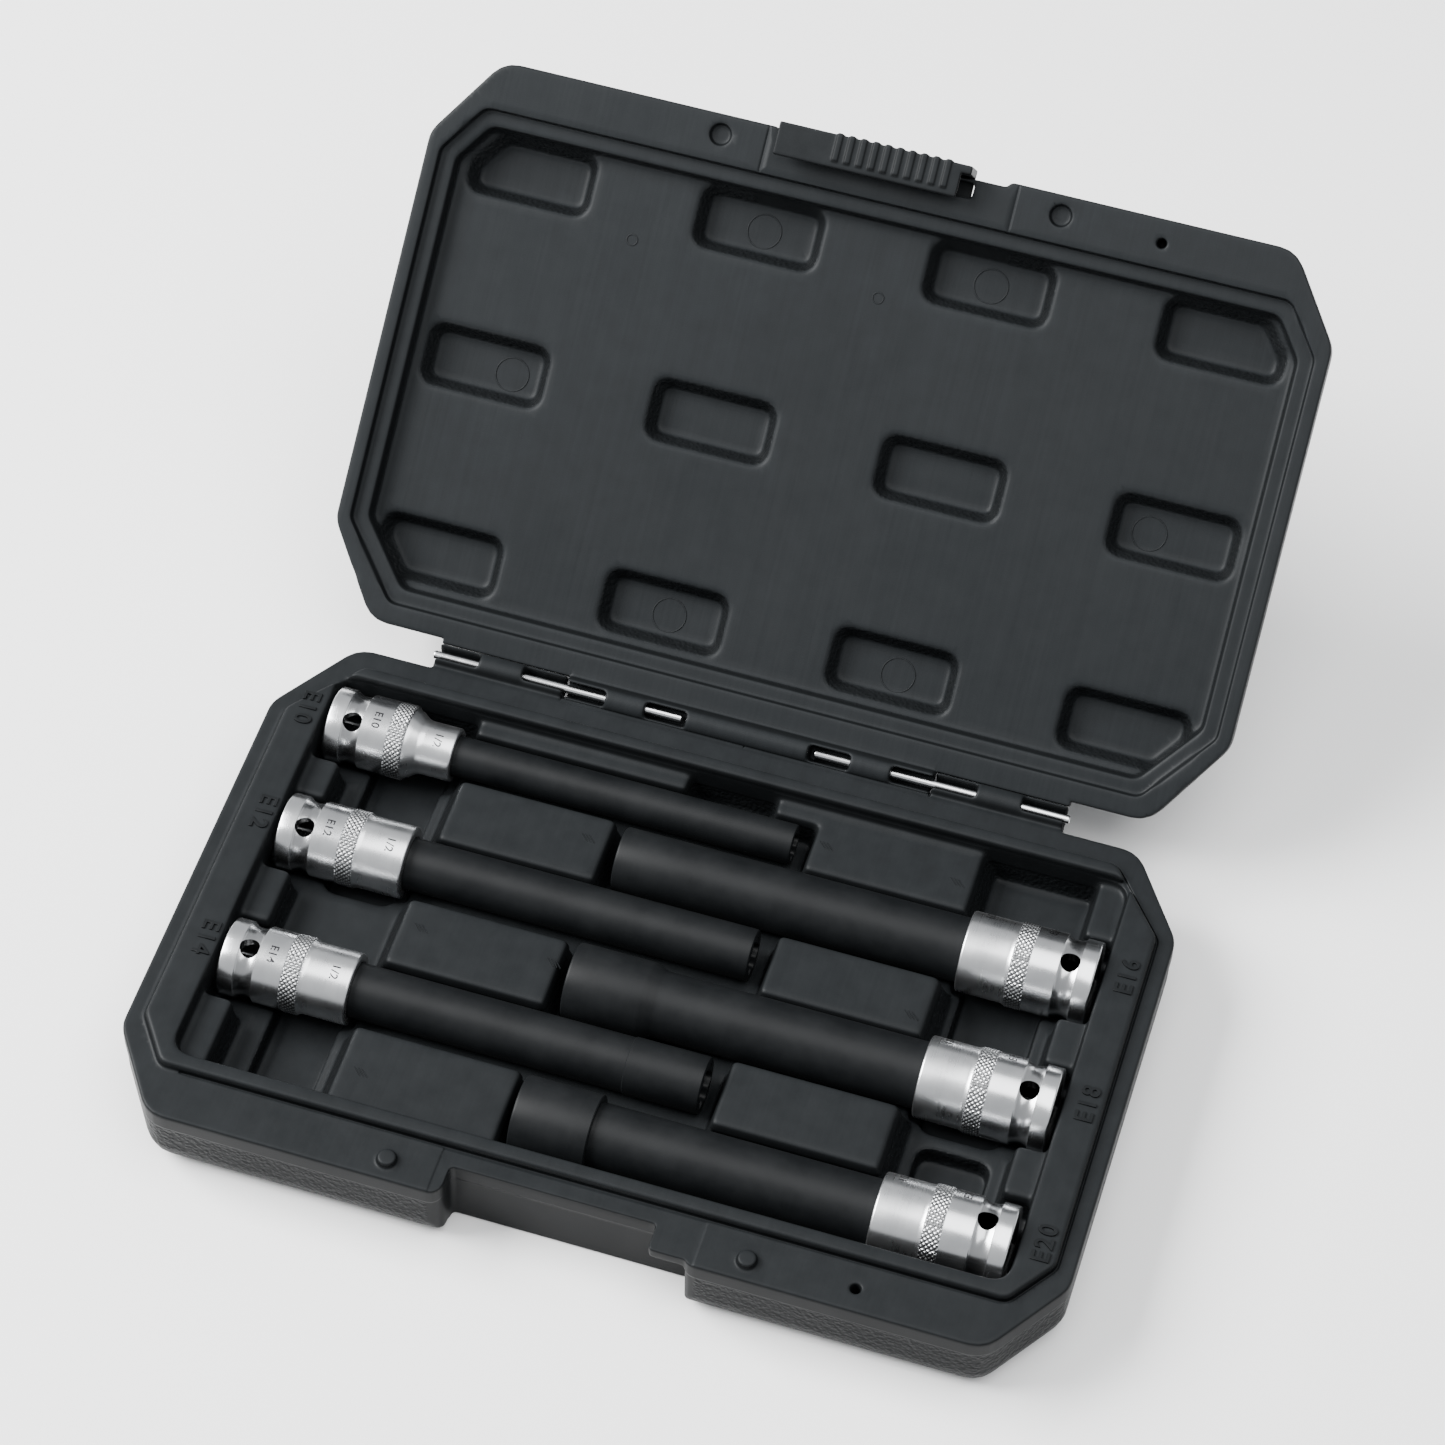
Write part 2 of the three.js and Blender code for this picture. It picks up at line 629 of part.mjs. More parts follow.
function makeShaft({ shaft, head, star, taper = 0 }) {
  const profile = [[SHAFT_START, shaft], [HEAD_START - taper, shaft]];
  if (head > shaft) profile.push([HEAD_START, head]);
  profile.push([SOCKET_LENGTH - 1, head], [SOCKET_LENGTH - 0.3, head - 0.3], [SOCKET_LENGTH, head - 1]);
  const hollow = slab(starOutline(star), 0, STAR_DEPTH + 1)
    .rotateY(Math.PI / 2)
    .translate(SOCKET_LENGTH - STAR_DEPTH, 0, 0);
  return geometryOf(cut(solid(turned(profile)), [hollow]));
}

function makeSocket(socket) {
  const group = new THREE.Group();
  group.position.set(socket.side * SOCKET_DRIVE_X, socket.y, BASE_HEIGHT - SOCKET_DEPTH);
  if (socket.side > 0) group.rotation.z = Math.PI;
  group.add(
    named(`socket_${socket.size}_drive_collar`, makeCollar(socket), 0xc9cbcc, 0.3, 1),
    named(`socket_${socket.size}_star_shaft`, makeShaft(socket), 0x2b2c2e, 0.42, 0.6),
  );
  return group;
}

// ---------------------------------------------------------------- hinge pins

function makePin(side) {
  const { inner, outer, radius, tip } = PIN;
  const profile = [
    [inner, radius - tip],
    [inner + tip, radius],
    [outer - tip, radius],
    [outer, radius - tip],
  ];
  const pin = turned(profile, 16);
  if (side < 0) pin.rotateZ(Math.PI);
  return pin.translate(0, HINGE.y, HINGE.z);
}

// ---------------------------------------------------------------- assembly

// Everything on the lid is built closed, then turned back about the hinge axis.
function openWithLid(...meshes) {
  const turnedBack = new THREE.Group();
  turnedBack.position.set(0, HINGE.y, HINGE.z);
  turnedBack.rotation.x = -OPEN_ANGLE;
  meshes.forEach((mesh) => mesh.geometry.translate(0, -HINGE.y, -HINGE.z));
  turnedBack.add(...meshes);
  return turnedBack;
}

const socketSet = new THREE.Group();
socketSet.add(
  caseMoulding("case_base", makeBase()),
  openWithLid(
    caseMoulding("case_lid", makeClosedLid()),
    caseMoulding("latch_slider", makeClosedSlider()),
  ),
  named("hinge_pin_left", makePin(-1), 0xd2d3d4, 0.25, 1),
  named("hinge_pin_right", makePin(1), 0xd2d3d4, 0.25, 1),
  ...SOCKETS.map(makeSocket),
);

export default socketSet;
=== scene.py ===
"""Looks for the long star socket set in its hinged case.

The two shells of the case and the latch slider are softened copies of their CAD nodes: each node is
turned into a distance field, blurred a little so that its edges roll over as moulded plastic does,
given its grooves and steps, and turned back into a mesh. The sockets and pins are turned shapes.
Lengths in this script are millimetres in the frame of the CAD until a mesh is made, in metres.
"""

import json
import math

import bpy
import numpy as np
import openvdb
from mathutils import Matrix, Vector


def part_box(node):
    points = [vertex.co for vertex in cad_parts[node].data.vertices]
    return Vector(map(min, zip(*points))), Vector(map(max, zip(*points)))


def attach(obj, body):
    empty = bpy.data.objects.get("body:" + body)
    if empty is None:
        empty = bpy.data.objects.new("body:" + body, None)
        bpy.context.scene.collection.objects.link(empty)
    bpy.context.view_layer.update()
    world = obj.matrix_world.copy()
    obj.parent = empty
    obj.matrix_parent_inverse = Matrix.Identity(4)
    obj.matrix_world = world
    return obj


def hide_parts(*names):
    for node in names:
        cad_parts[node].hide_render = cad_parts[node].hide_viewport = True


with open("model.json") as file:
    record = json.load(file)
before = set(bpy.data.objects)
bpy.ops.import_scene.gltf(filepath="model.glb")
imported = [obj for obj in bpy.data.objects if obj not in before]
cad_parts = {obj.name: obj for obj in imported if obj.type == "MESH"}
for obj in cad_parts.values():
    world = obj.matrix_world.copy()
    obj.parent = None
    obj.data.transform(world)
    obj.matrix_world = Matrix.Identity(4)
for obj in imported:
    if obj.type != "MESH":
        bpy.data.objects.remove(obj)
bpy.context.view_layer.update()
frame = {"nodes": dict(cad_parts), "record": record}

MM = 0.001

# ---------------------------------------------------------------- places taken from the frame


def node_box(name):
    """Lowest and highest corner of a CAD node, in millimetres."""
    low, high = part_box(name)
    return np.array(low) / MM, np.array(high) / MM


def joint(name):
    return next(j for j in frame["record"]["behaviour"]["joints"] if j["name"] == name)


HINGE = joint("lid_hinge")
OPEN_ANGLE = math.radians(-HINGE["range_deg"][0])
HINGE_AXIS = Vector(HINGE["axis"])
HINGE_POINT = Vector(HINGE["pos_m"])
OPENING = (
    Matrix.Translation(HINGE_POINT)
    @ Matrix.Rotation(OPEN_ANGLE, 4, HINGE_AXIS)
    @ Matrix.Translation(-HINGE_POINT)
)
SIZES = ("e10", "e12", "e14", "e16", "e18", "e20")

# The parting plane is where the base's flange ends, and heights in the case are measured from it.
LAND_HEIGHT = 2.3
PARTING = 25.2
PARTING_GAP = 0.3


# ---------------------------------------------------------------- distance fields


class Field:
    """The signed distance to a closed surface on a grid of voxels, negative inside."""

    def __init__(self, points, triangles, voxel, reach):
        self.voxel = voxel
        self.reach = reach
        transform = openvdb.createLinearTransform(voxelSize=voxel)
        grid = openvdb.FloatGrid.createLevelSetFromPolygons(
            points, triangles=triangles, transform=transform, halfWidth=reach / voxel
        )
        low, high = (np.array(corner) for corner in grid.evalActiveVoxelBoundingBox())
        self.low = low - 2
        self.values = np.empty(tuple(high - low + 5), np.float32)
        grid.copyToArray(self.values, ijk=tuple(int(v) for v in self.low))

    def axes(self):
        """The x, y and z of the voxels, shaped so that they spread over the grid."""
        return [
            ((self.low[i] + np.arange(n)) * self.voxel).reshape([-1 if a == i else 1 for a in range(3)])
            for i, n in enumerate(self.values.shape)
        ]

    def window(self, low, high):
        """The part of the grid inside a box: its slices, and x, y and z there."""
        first = np.maximum(np.floor(np.array(low) / self.voxel).astype(int) - self.low, 0)
        last = np.ceil(np.array(high) / self.voxel).astype(int) - self.low + 1
        cut = tuple(slice(int(a), int(b)) for a, b in zip(first, last))
        full = self.axes()
        spread = [full[i][tuple(cut[i] if a == i else slice(None) for a in range(3))] for i in range(3)]
        return cut, spread

    def blurred(self, sigma):
        """The values after a Gaussian blur of sigma millimetres."""
        radius = math.ceil(2.6 * sigma / self.voxel)
        steps = np.arange(-radius, radius + 1) * self.voxel
        weights = np.exp(-0.5 * (steps / sigma) ** 2)
        weights = (weights / weights.sum()).astype(np.float32)
        values = self.values
        for axis in range(3):
            margin = [(radius, radius) if a == axis else (0, 0) for a in range(3)]
            padded = np.pad(values, margin, mode="edge")
            values = np.zeros_like(values)
            for i, weight in enumerate(weights):
                part = [slice(None)] * 3
                part[axis] = slice(i, i + values.shape[axis])
                values += weight * padded[tuple(part)]
        return values

    def slice_at(self, height):
        """The distances on one level, with x and y for it."""
        x, y, _ = self.axes()
        index = round(height / self.voxel) - int(self.low[2])
        return self.values[:, :, index], x[:, :, 0], y[:, :, 0]

    def carve(self, cut, distance, softness=0.25):
        """Takes away the shape whose distance is given, over a part of the grid."""
        self.values[cut] = -soft_least(-self.values[cut], distance, softness)

    def raise_up(self, cut, distance, softness=0.25):
        """Adds the shape whose distance is given, over a part of the grid."""
        self.values[cut] = soft_least(self.values[cut], distance, softness)

    def sample(self, points):
        """The distance at points in millimetres, between the voxels."""
        place = points / self.voxel - self.low
        base = np.clip(np.floor(place).astype(int), 0, np.array(self.values.shape) - 2)
        part = place - base
        total = np.zeros(len(points))
        for dx, dy, dz in np.ndindex(2, 2, 2):
            share = (
                (part[:, 0] if dx else 1 - part[:, 0])
                * (part[:, 1] if dy else 1 - part[:, 1])
                * (part[:, 2] if dz else 1 - part[:, 2])
            )
            total += share * self.values[base[:, 0] + dx, base[:, 1] + dy, base[:, 2] + dz]
        return total

    def mesh(self, name, adaptivity):
        """The zero surface as a mesh in metres, with normals read from the field."""
        grid = openvdb.FloatGrid(background=float(self.reach))
        grid.transform = openvdb.createLinearTransform(voxelSize=self.voxel)
        grid.copyFromArray(self.values, ijk=tuple(int(v) for v in self.low))
        grid.gridClass = openvdb.GridClass.LEVEL_SET
        points, triangles, quads = grid.convertToPolygons(isovalue=0.0, adaptivity=adaptivity)
        points = points.astype(float)
        faces = [tuple(f[::-1]) for f in triangles.tolist()] + [tuple(f[::-1]) for f in quads.tolist()]
        slope = np.empty_like(points)
        for axis in range(3):
            step = np.zeros(3)
            step[axis] = 0.6 * self.voxel
            slope[:, axis] = self.sample(points + step) - self.sample(points - step)
        slope /= np.linalg.norm(slope, axis=1, keepdims=True) + 1e-9
        mesh = bpy.data.meshes.new(name)
        mesh.from_pydata((points * MM).tolist(), [], faces)
        mesh.validate()
        mesh.shade_smooth()
        mesh.normals_split_custom_set_from_vertices(slope.tolist())
        return mesh


def soft_least(a, b, softness):
    """The smaller of two distances, rounded where they meet."""
    h = np.maximum(softness - np.abs(a - b), 0) / softness
    return np.minimum(a, b) - h * h * softness * 0.25


def field_of(node, voxel, reach, back=None):
    """The distance field of a CAD node, moved by the matrix back first if one is given."""
    mesh = frame["nodes"][node].data
    points = np.empty(len(mesh.vertices) * 3, np.float32)
    mesh.vertices.foreach_get("co", points)
    points = points.reshape(-1, 3)
    if back is not None:
        turn = np.array(back)
        points = points @ turn[:3, :3].T + turn[:3, 3]
    mesh.calc_loop_triangles()
    triangles = np.empty(len(mesh.loop_triangles) * 3, np.int32)
    mesh.loop_triangles.foreach_get("vertices", triangles)
    triangles = triangles.reshape(-1, 3).astype(np.uint32)
    return Field((points / MM).astype(np.float32), triangles, voxel, reach)


def ramp(value, start, end):
    """0 up to start, 1 from end, and a smooth step between them."""
    t = np.clip((value - start) / (end - start), 0, 1)
    return t * t * (3 - 2 * t)


def inside_rectangle(x, y, half_width, front, back, blend):
    """1 well inside a rectangle and 0 outside it, with a soft edge of the given width."""
    across = 1 - ramp(np.abs(x), half_width - blend, half_width)
    along = ramp(y, front, front + blend) * (1 - ramp(y, back - blend, back))
    return across * along


# ---------------------------------------------------------------- materials


def new_material(name):
    material = bpy.data.materials.new(name)
    material.use_nodes = True
    tree = material.node_tree
    shader = tree.nodes["Principled BSDF"]
    return material, tree, shader


# Numbers of the colour sockets of a mix node.
MIX_FIRST, MIX_SECOND, MIX_RESULT = 6, 7, 2


class Nodes:
    """Adds nodes to a material's tree and links them, one call each."""

    def __init__(self, tree):
        self.tree = tree

    def add(self, kind, inputs=None, **settings):
        node = self.tree.nodes.new(kind)
        for key, value in settings.items():
            setattr(node, key, value)
        for key, value in (inputs or {}).items():
            if isinstance(value, bpy.types.NodeSocket):
                self.tree.links.new(value, node.inputs[key])
            else:
                node.inputs[key].default_value = value
        return node

    def place(self, scale=(1, 1, 1)):
        """The object's own coordinates, stretched by scale."""
        source = self.add("ShaderNodeTexCoord").outputs["Object"]
        return self.add("ShaderNodeMapping", {"Vector": source, "Scale": scale}).outputs["Vector"]

    def noise(self, place, scale, detail=2.0, roughness=0.5):
        inputs = {"Vector": place, "Scale": scale, "Detail": detail, "Roughness": roughness}
        return self.add("ShaderNodeTexNoise", inputs).outputs["Fac"]

    def spread(self, value, low, high, start=0.0, end=1.0):
        """value from start..end mapped to low..high."""
        inputs = {"Value": value, "From Min": start, "From Max": end, "To Min": low, "To Max": high}
        return self.add("ShaderNodeMapRange", inputs).outputs["Result"]

    def math(self, operation, a, b):
        return self.add("ShaderNodeMath", {0: a, 1: b}, operation=operation).outputs["Value"]

    def vector(self, operation, a, b):
        return self.add("ShaderNodeVectorMath", {0: a, 1: b}, operation=operation).outputs["Vector"]

    def colours(self, factor, dark, light):
        """A colour from dark at factor 0 to light at 1."""
        inputs = {"Factor": factor, MIX_FIRST: (*dark, 1), MIX_SECOND: (*light, 1)}
        return self.add("ShaderNodeMix", inputs, data_type="RGBA").outputs[MIX_RESULT]

    def scaled(self, colour, share):
        """colour times share."""
        inputs = {"Factor": 1.0, MIX_FIRST: colour, MIX_SECOND: share}
        return self.add("ShaderNodeMix", inputs, data_type="RGBA", blend_type="MULTIPLY").outputs[MIX_RESULT]

    def darkened(self, colour, attribute, least):
        """colour, down to the share least of it where the mesh's attribute is 1."""
        depth = self.add("ShaderNodeAttribute", attribute_name=attribute).outputs["Fac"]
        return self.scaled(colour, self.spread(depth, 1.0, least))

    def bump(self, height, distance, strength, under=None):
        inputs = {"Height": height, "Distance": distance, "Strength": strength}
        if under is not None:
            inputs["Normal"] = under
        return self.add("ShaderNodeBump", inputs).outputs["Normal"]


PLASTIC_DARK = (0.0078, 0.0088, 0.0096)
PLASTIC_LIGHT = (0.0126, 0.0141, 0.0153)
PLASTIC_ROUGHNESS = (0.40, 0.50)
PLASTIC_SPECULAR = 0.08
# Steep faces take this share of the colour: painted shade for the shadow that falls on walls and sides.
STEEP_SHADE_SHARE = 0.5
# The latch's room in the front wall, which stays smooth, and how soft the grain's edges are, in metres.
LATCH_ROOM = {"half_width": 0.0375, "front": -0.0835, "back": -0.06}
WALL_FADE = 0.0004


def case_plastic(name, streak, tone=1.0, walls=None):
    """Black polyethylene: cloudy sheen, fine skin, flow streaks along y, pebble grain on its walls, and
    painted shade on steep faces.
    """
    material, tree, shader = new_material(name)
    nodes = Nodes(tree)
    place = nodes.place()
    clouds = nodes.noise(place, 26.0, 3.0)
    shade = nodes.noise(place, 140.0, 4.0, 0.6)
    streaks = nodes.noise(nodes.place((900, 14, 900)), 1.0, 3.0, 0.6)
    streaked = nodes.add("ShaderNodeMath", {0: streaks, 1: streak, 2: shade}, operation="MULTIPLY_ADD")
    mixed = streaked.outputs["Value"]
    dark, light = ([tone * c for c in colour] for colour in (PLASTIC_DARK, PLASTIC_LIGHT))
    colour = nodes.colours(nodes.spread(mixed, 0, 1, 0.3, 0.7 + streak), dark, light)
    # Painted shade: steep faces keep only a share of the colour.
    colour = nodes.scaled(colour, nodes.spread(steepness(nodes), 1.0, STEEP_SHADE_SHARE))
    tree.links.new(colour, shader.inputs["Base Color"])
    tree.links.new(nodes.spread(clouds, *PLASTIC_ROUGHNESS, 0.3, 0.7), shader.inputs["Roughness"])
    shader.inputs["Specular IOR Level"].default_value = PLASTIC_SPECULAR
    waves = nodes.bump(nodes.noise(place, 55.0, 1.0), 0.0006, 0.16)
    lines = nodes.bump(streaks, 0.00012, 0.25 * streak, waves)
    skin = nodes.bump(nodes.noise(place, 2600.0, 2.0), 0.00005, 0.5, lines)
    if walls is not None:
        skin = pebble_grain(nodes, place, walls, skin)
    tree.links.new(skin, shader.inputs["Normal"])
    return material


PEBBLE_SHIFT = 0.0011


def pebble_grain(nodes, place, rule, under):
    """Raised pebbles about a millimetre across, only where rule says."""
    warp = nodes.add("ShaderNodeTexNoise", {"Vector": place, "Scale": 700.0, "Detail": 2.0}).outputs["Color"]
    shift = nodes.vector("MULTIPLY", warp, (PEBBLE_SHIFT,) * 3)
    moved = nodes.vector("ADD", place, shift)
    cells = nodes.add("ShaderNodeTexVoronoi", {"Vector": moved, "Scale": 850.0}, feature="SMOOTH_F1")
    domes = nodes.spread(cells.outputs["Distance"], 1.0, 0.0, 0.1, 0.65)
    height = nodes.math("MULTIPLY", domes, rule(nodes))
    return nodes.bump(height, 0.00028, 0.85, under)


def steepness(nodes):
    """0 where the surface lies flat in the object's own frame, 1 where it stands upright."""
    normal = nodes.add("ShaderNodeTexCoord").outputs["Normal"]
    up = nodes.add("ShaderNodeSeparateXYZ", {"Vector": normal}).outputs["Z"]
    return nodes.spread(nodes.math("ABSOLUTE", up, 0.0), 1.0, 0.0, 0.55, 0.8)


def wall_rule(start, end):
    """1 where the object's own z is between start and end metres and the surface is steep.

    The walls inside the latch's room stay smooth.
    """

    def rule(nodes):
        place = nodes.add("ShaderNodeTexCoord").outputs["Object"]
        x, y, z = nodes.add("ShaderNodeSeparateXYZ", {"Vector": place}).outputs
        half_width, front, back = (LATCH_ROOM[key] for key in ("half_width", "front", "back"))
        below_top = nodes.spread(z, 1.0, 0.0, end - WALL_FADE, end + WALL_FADE)
        above_foot = nodes.spread(z, 0.0, 1.0, start - WALL_FADE, start + WALL_FADE)
        beside = nodes.spread(nodes.math("ABSOLUTE", x, 0.0), 0.0, 1.0, half_width, half_width + 0.001)
        ahead = nodes.spread(y, 1.0, 0.0, front - 0.0005, front)
        behind = nodes.spread(y, 0.0, 1.0, back, back + 0.01)
        outside = nodes.math("MAXIMUM", nodes.math("MAXIMUM", beside, ahead), behind)
        span = nodes.math("MULTIPLY", below_top, above_foot)
        return nodes.math("MULTIPLY", nodes.math("MULTIPLY", steepness(nodes), span), outside)

    return rule


# The mesh attribute that says how much painted shade a corner takes (the knurl's grooves, the neck and the
# bores), and the share of its colour that the darkest keeps.
SHADE_ATTRIBUTE = "groove"
PAINTED_SHADE_SHARE = 0.05
# The smoother end keeps this share of the roughness.
SATIN_SHARE = 0.85
SATIN_FADE = 0.0006


def turned_metal(name, dark, light, rough, ring, grain, metallic=1.0, fine=2200.0, bright_until=0.0):
    """Metal turned about its x axis: fine rings round it, a matt grain, cloudy reflections, and painted
    shade where a mesh attribute says.

    It is a little smoother from x = 0 to bright_until metres along the axis.
    """
    material, tree, shader = new_material(name)
    nodes = Nodes(tree)
    place = nodes.place()
    rings = nodes.noise(nodes.place((fine, 40, 40)), 1.0, 3.0, 0.65)
    clouds = nodes.noise(place, 90.0, 3.0, 0.6)
    speck = nodes.noise(place, 3200.0, 2.0)
    colour = nodes.colours(nodes.spread(clouds, 0, 1, 0.3, 0.7), dark, light)
    # Painted shade: corners darken where the mesh attribute says.
    tree.links.new(nodes.darkened(colour, SHADE_ATTRIBUTE, PAINTED_SHADE_SHARE), shader.inputs["Base Color"])
    low, high = rough
    mixed = nodes.math("ADD", nodes.math("MULTIPLY", clouds, 0.6), nodes.math("MULTIPLY", rings, 0.4))
    matt = nodes.spread(mixed, low, high, 0.3, 0.7)
    along = nodes.add("ShaderNodeSeparateXYZ", {"Vector": place}).outputs["X"]
    finish = nodes.spread(along, SATIN_SHARE, 1.0, bright_until, bright_until + SATIN_FADE)
    tree.links.new(nodes.math("MULTIPLY", matt, finish), shader.inputs["Roughness"])
    shader.inputs["Metallic"].default_value = metallic
    shader.inputs["Specular IOR Level"].default_value = 0.5 if metallic else 0.16
    turned = nodes.bump(rings, 0.00001, ring)
    tree.links.new(nodes.bump(speck, 0.00001, grain, turned), shader.inputs["Normal"])
    return material


def set_material(obj, material):
    obj.data.materials.clear()
    obj.data.materials.append(material)


# ---------------------------------------------------------------- pieces


def new_piece(name, mesh, matrix=None):
    obj = bpy.data.objects.new(name, mesh)
    bpy.context.collection.objects.link(obj)
    if matrix is not None:
        obj.matrix_world = matrix
    return obj


def register(obj, body, slot, *nodes):
    """The piece rides on a body and stands for these CAD nodes; the slot is not used."""
    bpy.context.view_layer.update()
    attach(obj, body)
    if nodes:
        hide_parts(*nodes)


# ---------------------------------------------------------------- the base

CASE_VOXEL = 0.42
CASE_REACH = 4.2
CASE_ADAPTIVITY = 0.012
EDGE_BLUR = 0.45
TRAY_BLUR = 0.9
TRAY_EDGE = 121.5
TRAY_FRONT = -66.5
TRAY_BACK = 75.0
TRAY_FLOOR = (3.0, 5.0)
BAND_HEIGHT = 6.2
WALL_STEP = 0.35
LATCH_HALF_WIDTH = 37.4
LATCH_STEP = {"back": -69.7, "drop": 0.4}
LAND_GROOVE = {"out": 0.3, "half": 0.28, "deep": 0.7, "fade": (112, 122)}
# The knuckles of each shell, from and to this |x|, and the room that their outsides need.
BASE_KNUCKLES = (55.5, 95.2)
LID_KNUCKLES = (0.0, 55.7)
KNUCKLE_REACH = 3.98
HINGE_TO_WALL = 5.0
FILLER_HALF = 1.6


def build_base():
    field = field_of("case_base", CASE_VOXEL, CASE_REACH)
    sharp = field.blurred(EDGE_BLUR)
    soft = field.blurred(TRAY_BLUR)
    x, y, z = field.axes()
    tray = inside_rectangle(x, y, TRAY_EDGE, TRAY_FRONT, TRAY_BACK, 4.0) * ramp(z, *TRAY_FLOOR)
    field.values = sharp + (soft - sharp) * tray.astype(np.float32)
    groove_round_land(field)
    set_back_wall(field, PARTING - BAND_HEIGHT)
    latch_steps(field)
    narrow_hinge_gap(field, *LID_KNUCKLES, PARTING - 5.0, PARTING - 0.2)
    return field.mesh("case_base_moulding", CASE_ADAPTIVITY)


def groove_round_land(field):
    """A fine groove where the raised land meets the flange, which fades out towards the left end."""
    edge, _, _ = field.slice_at(PARTING + 1.4)
    low = (-134, -72, PARTING - 1.5)
    cut, (x, _, z) = field.window(low, (134, 80, PARTING + 1.0))
    ring = np.abs(edge[cut[0], cut[1], None] - LAND_GROOVE["out"]) - LAND_GROOVE["half"]
    ring = ring + 0.6 * ramp(-x, *LAND_GROOVE["fade"])
    groove = np.maximum(ring, np.abs(z - PARTING) - LAND_GROOVE["deep"])
    field.carve(cut, groove.astype(np.float32), 0.15)


def set_back_wall(field, top):
    """The outer wall under the flange's band lies a little further in, with a soft step."""
    outline, x, y = field.slice_at(PARTING - 4.0)
    cut, (_, _, z) = field.window((-140, -90, -2), (140, 82, top + 3))
    near = (1 - ramp(-outline[cut[0], cut[1]], 3.0, 4.0))[:, :, None]
    below = 1 - ramp(z, top - 0.5, top + 0.5)
    bottom = ramp(z, 0.0, 1.2)
    field.values[cut] += (WALL_STEP * near * below * bottom).astype(np.float32)


def narrow_hinge_gap(field, start, end, low, high):
    """Brings the back wall close to the other shell's knuckles.

    It does so from |x| = start to end and from z = low to high.
    """
    axis_y, axis_z = HINGE_POINT.y / MM, HINGE_POINT.z / MM
    wall = axis_y - HINGE_TO_WALL
    cut, (x, y, z) = field.window((-end - 1, wall - 3, low - 1), (end + 1, wall + 3, high + 1))
    across = np.maximum(start - np.abs(x), np.abs(x) - end)
    block = np.maximum(np.maximum(across, np.abs(y - wall) - FILLER_HALF), np.maximum(low - z, z - high))
    shape = np.maximum(block, KNUCKLE_REACH - np.hypot(y - axis_y, z - axis_z))
    field.raise_up(cut, shape.astype(np.float32), 0.1)


def latch_steps(field):
    """The flange steps down a little across the latch's width."""
    cut, (x, y, z) = field.window((-40, -86, PARTING - 2), (40, -68, PARTING + 2))
    behind_edge = np.maximum(y - LATCH_STEP["back"], PARTING - LATCH_STEP["drop"] - z)
    block = np.maximum(np.abs(x) - LATCH_HALF_WIDTH, behind_edge)
    field.carve(cut, block.astype(np.float32), 0.3)


# ---------------------------------------------------------------- the lid

LID_TOP = 42.2
PANEL_HALF_WIDTH = 128.0
PANEL_FRONT = -67.0
PANEL_BACK = 74.5
PANEL_BLUR = 0.85
LID_WALL_BACK = 84.4
LID_KNUCKLE_END = 55.4
KNUCKLE_GROWTH = 0.28
FLANGE_LINE = {"half": 0.22, "deep": 0.45, "back": -68.5}


def build_lid():
    field = field_of("case_lid", CASE_VOXEL, CASE_REACH, OPENING.inverted())
    sharp = field.blurred(EDGE_BLUR)
    soft = field.blurred(PANEL_BLUR)
    x, y, z = field.axes()
    panel = inside_rectangle(x, y, PANEL_HALF_WIDTH, PANEL_FRONT, PANEL_BACK, 3.0)
    field.values = sharp + (soft - sharp) * (panel + 0 * z).astype(np.float32)
    lid_flange_lines(field)
    lengthen_knuckles(field, LID_KNUCKLE_END, KNUCKLE_GROWTH)
    narrow_hinge_gap(field, *BASE_KNUCKLES, PARTING + PARTING_GAP + 0.1, PARTING + 5.5)
    return field.mesh("case_lid_moulding", CASE_ADAPTIVITY)


def lengthen_knuckles(field, end, amount):
    """Moves the outer faces of the lid's knuckles outwards by amount, so that the joint is close."""
    share = amount / field.voxel
    for side in (-1, 1):
        low, high = sorted((side * (end - 1.3), side * (end + 1.5)))
        cut, _ = field.window((low, LID_WALL_BACK, PARTING - 6), (high, LID_WALL_BACK + 10, PARTING + 5))
        values = field.values[cut]
        if side > 0:
            nearer = np.concatenate([values[:1], values[:-1]])
        else:
            nearer = np.concatenate([values[1:], values[-1:]])
        field.values[cut] = (1 - share) * values + share * nearer


def lid_flange_lines(field):
    """Fine lines across the front flange at the two ends of the latch's room."""
    cut, (x, y, z) = field.window((-40, -86, PARTING - 1), (40, -67, PARTING + 3))
    beside = np.abs(np.abs(x) - LATCH_HALF_WIDTH) - FLANGE_LINE["half"]
    above = z - PARTING - PARTING_GAP - FLANGE_LINE["deep"]
    line = np.maximum(beside, np.maximum(above, y - FLANGE_LINE["back"]))
    field.carve(cut, line.astype(np.float32), 0.15)


# ---------------------------------------------------------------- the slider


SLIDER_VOXEL = 0.22
SLIDER_REACH = 1.6
SLIDER_BLUR = 0.26
SLIDER_ADAPTIVITY = 0.01


def build_slider():
    field = field_of("latch_slider", SLIDER_VOXEL, SLIDER_REACH)
    field.values = field.blurred(SLIDER_BLUR)
    return field.mesh("latch_slider_moulding", SLIDER_ADAPTIVITY)


# ---------------------------------------------------------------- turned pieces

AROUND = 336
ANGLES = np.arange(AROUND) * 2 * math.pi / AROUND


def ring_points(rings):
    """The points of rings (x, radius) in millimetres; radius is a number or one number per angle."""
    points = []
    for x, radius in rings:
        r = np.broadcast_to(radius, AROUND)
        points.append(np.stack([np.full(AROUND, x), r * np.sin(ANGLES), r * np.cos(ANGLES)], 1))
    return np.concatenate(points)


def faces_between(k, following):
    """The faces that join ring number k to the ring numbered following."""
    a, b = k * AROUND, following * AROUND
    return [(a + i, a + (i + 1) % AROUND, b + (i + 1) % AROUND, b + i) for i in range(AROUND)]


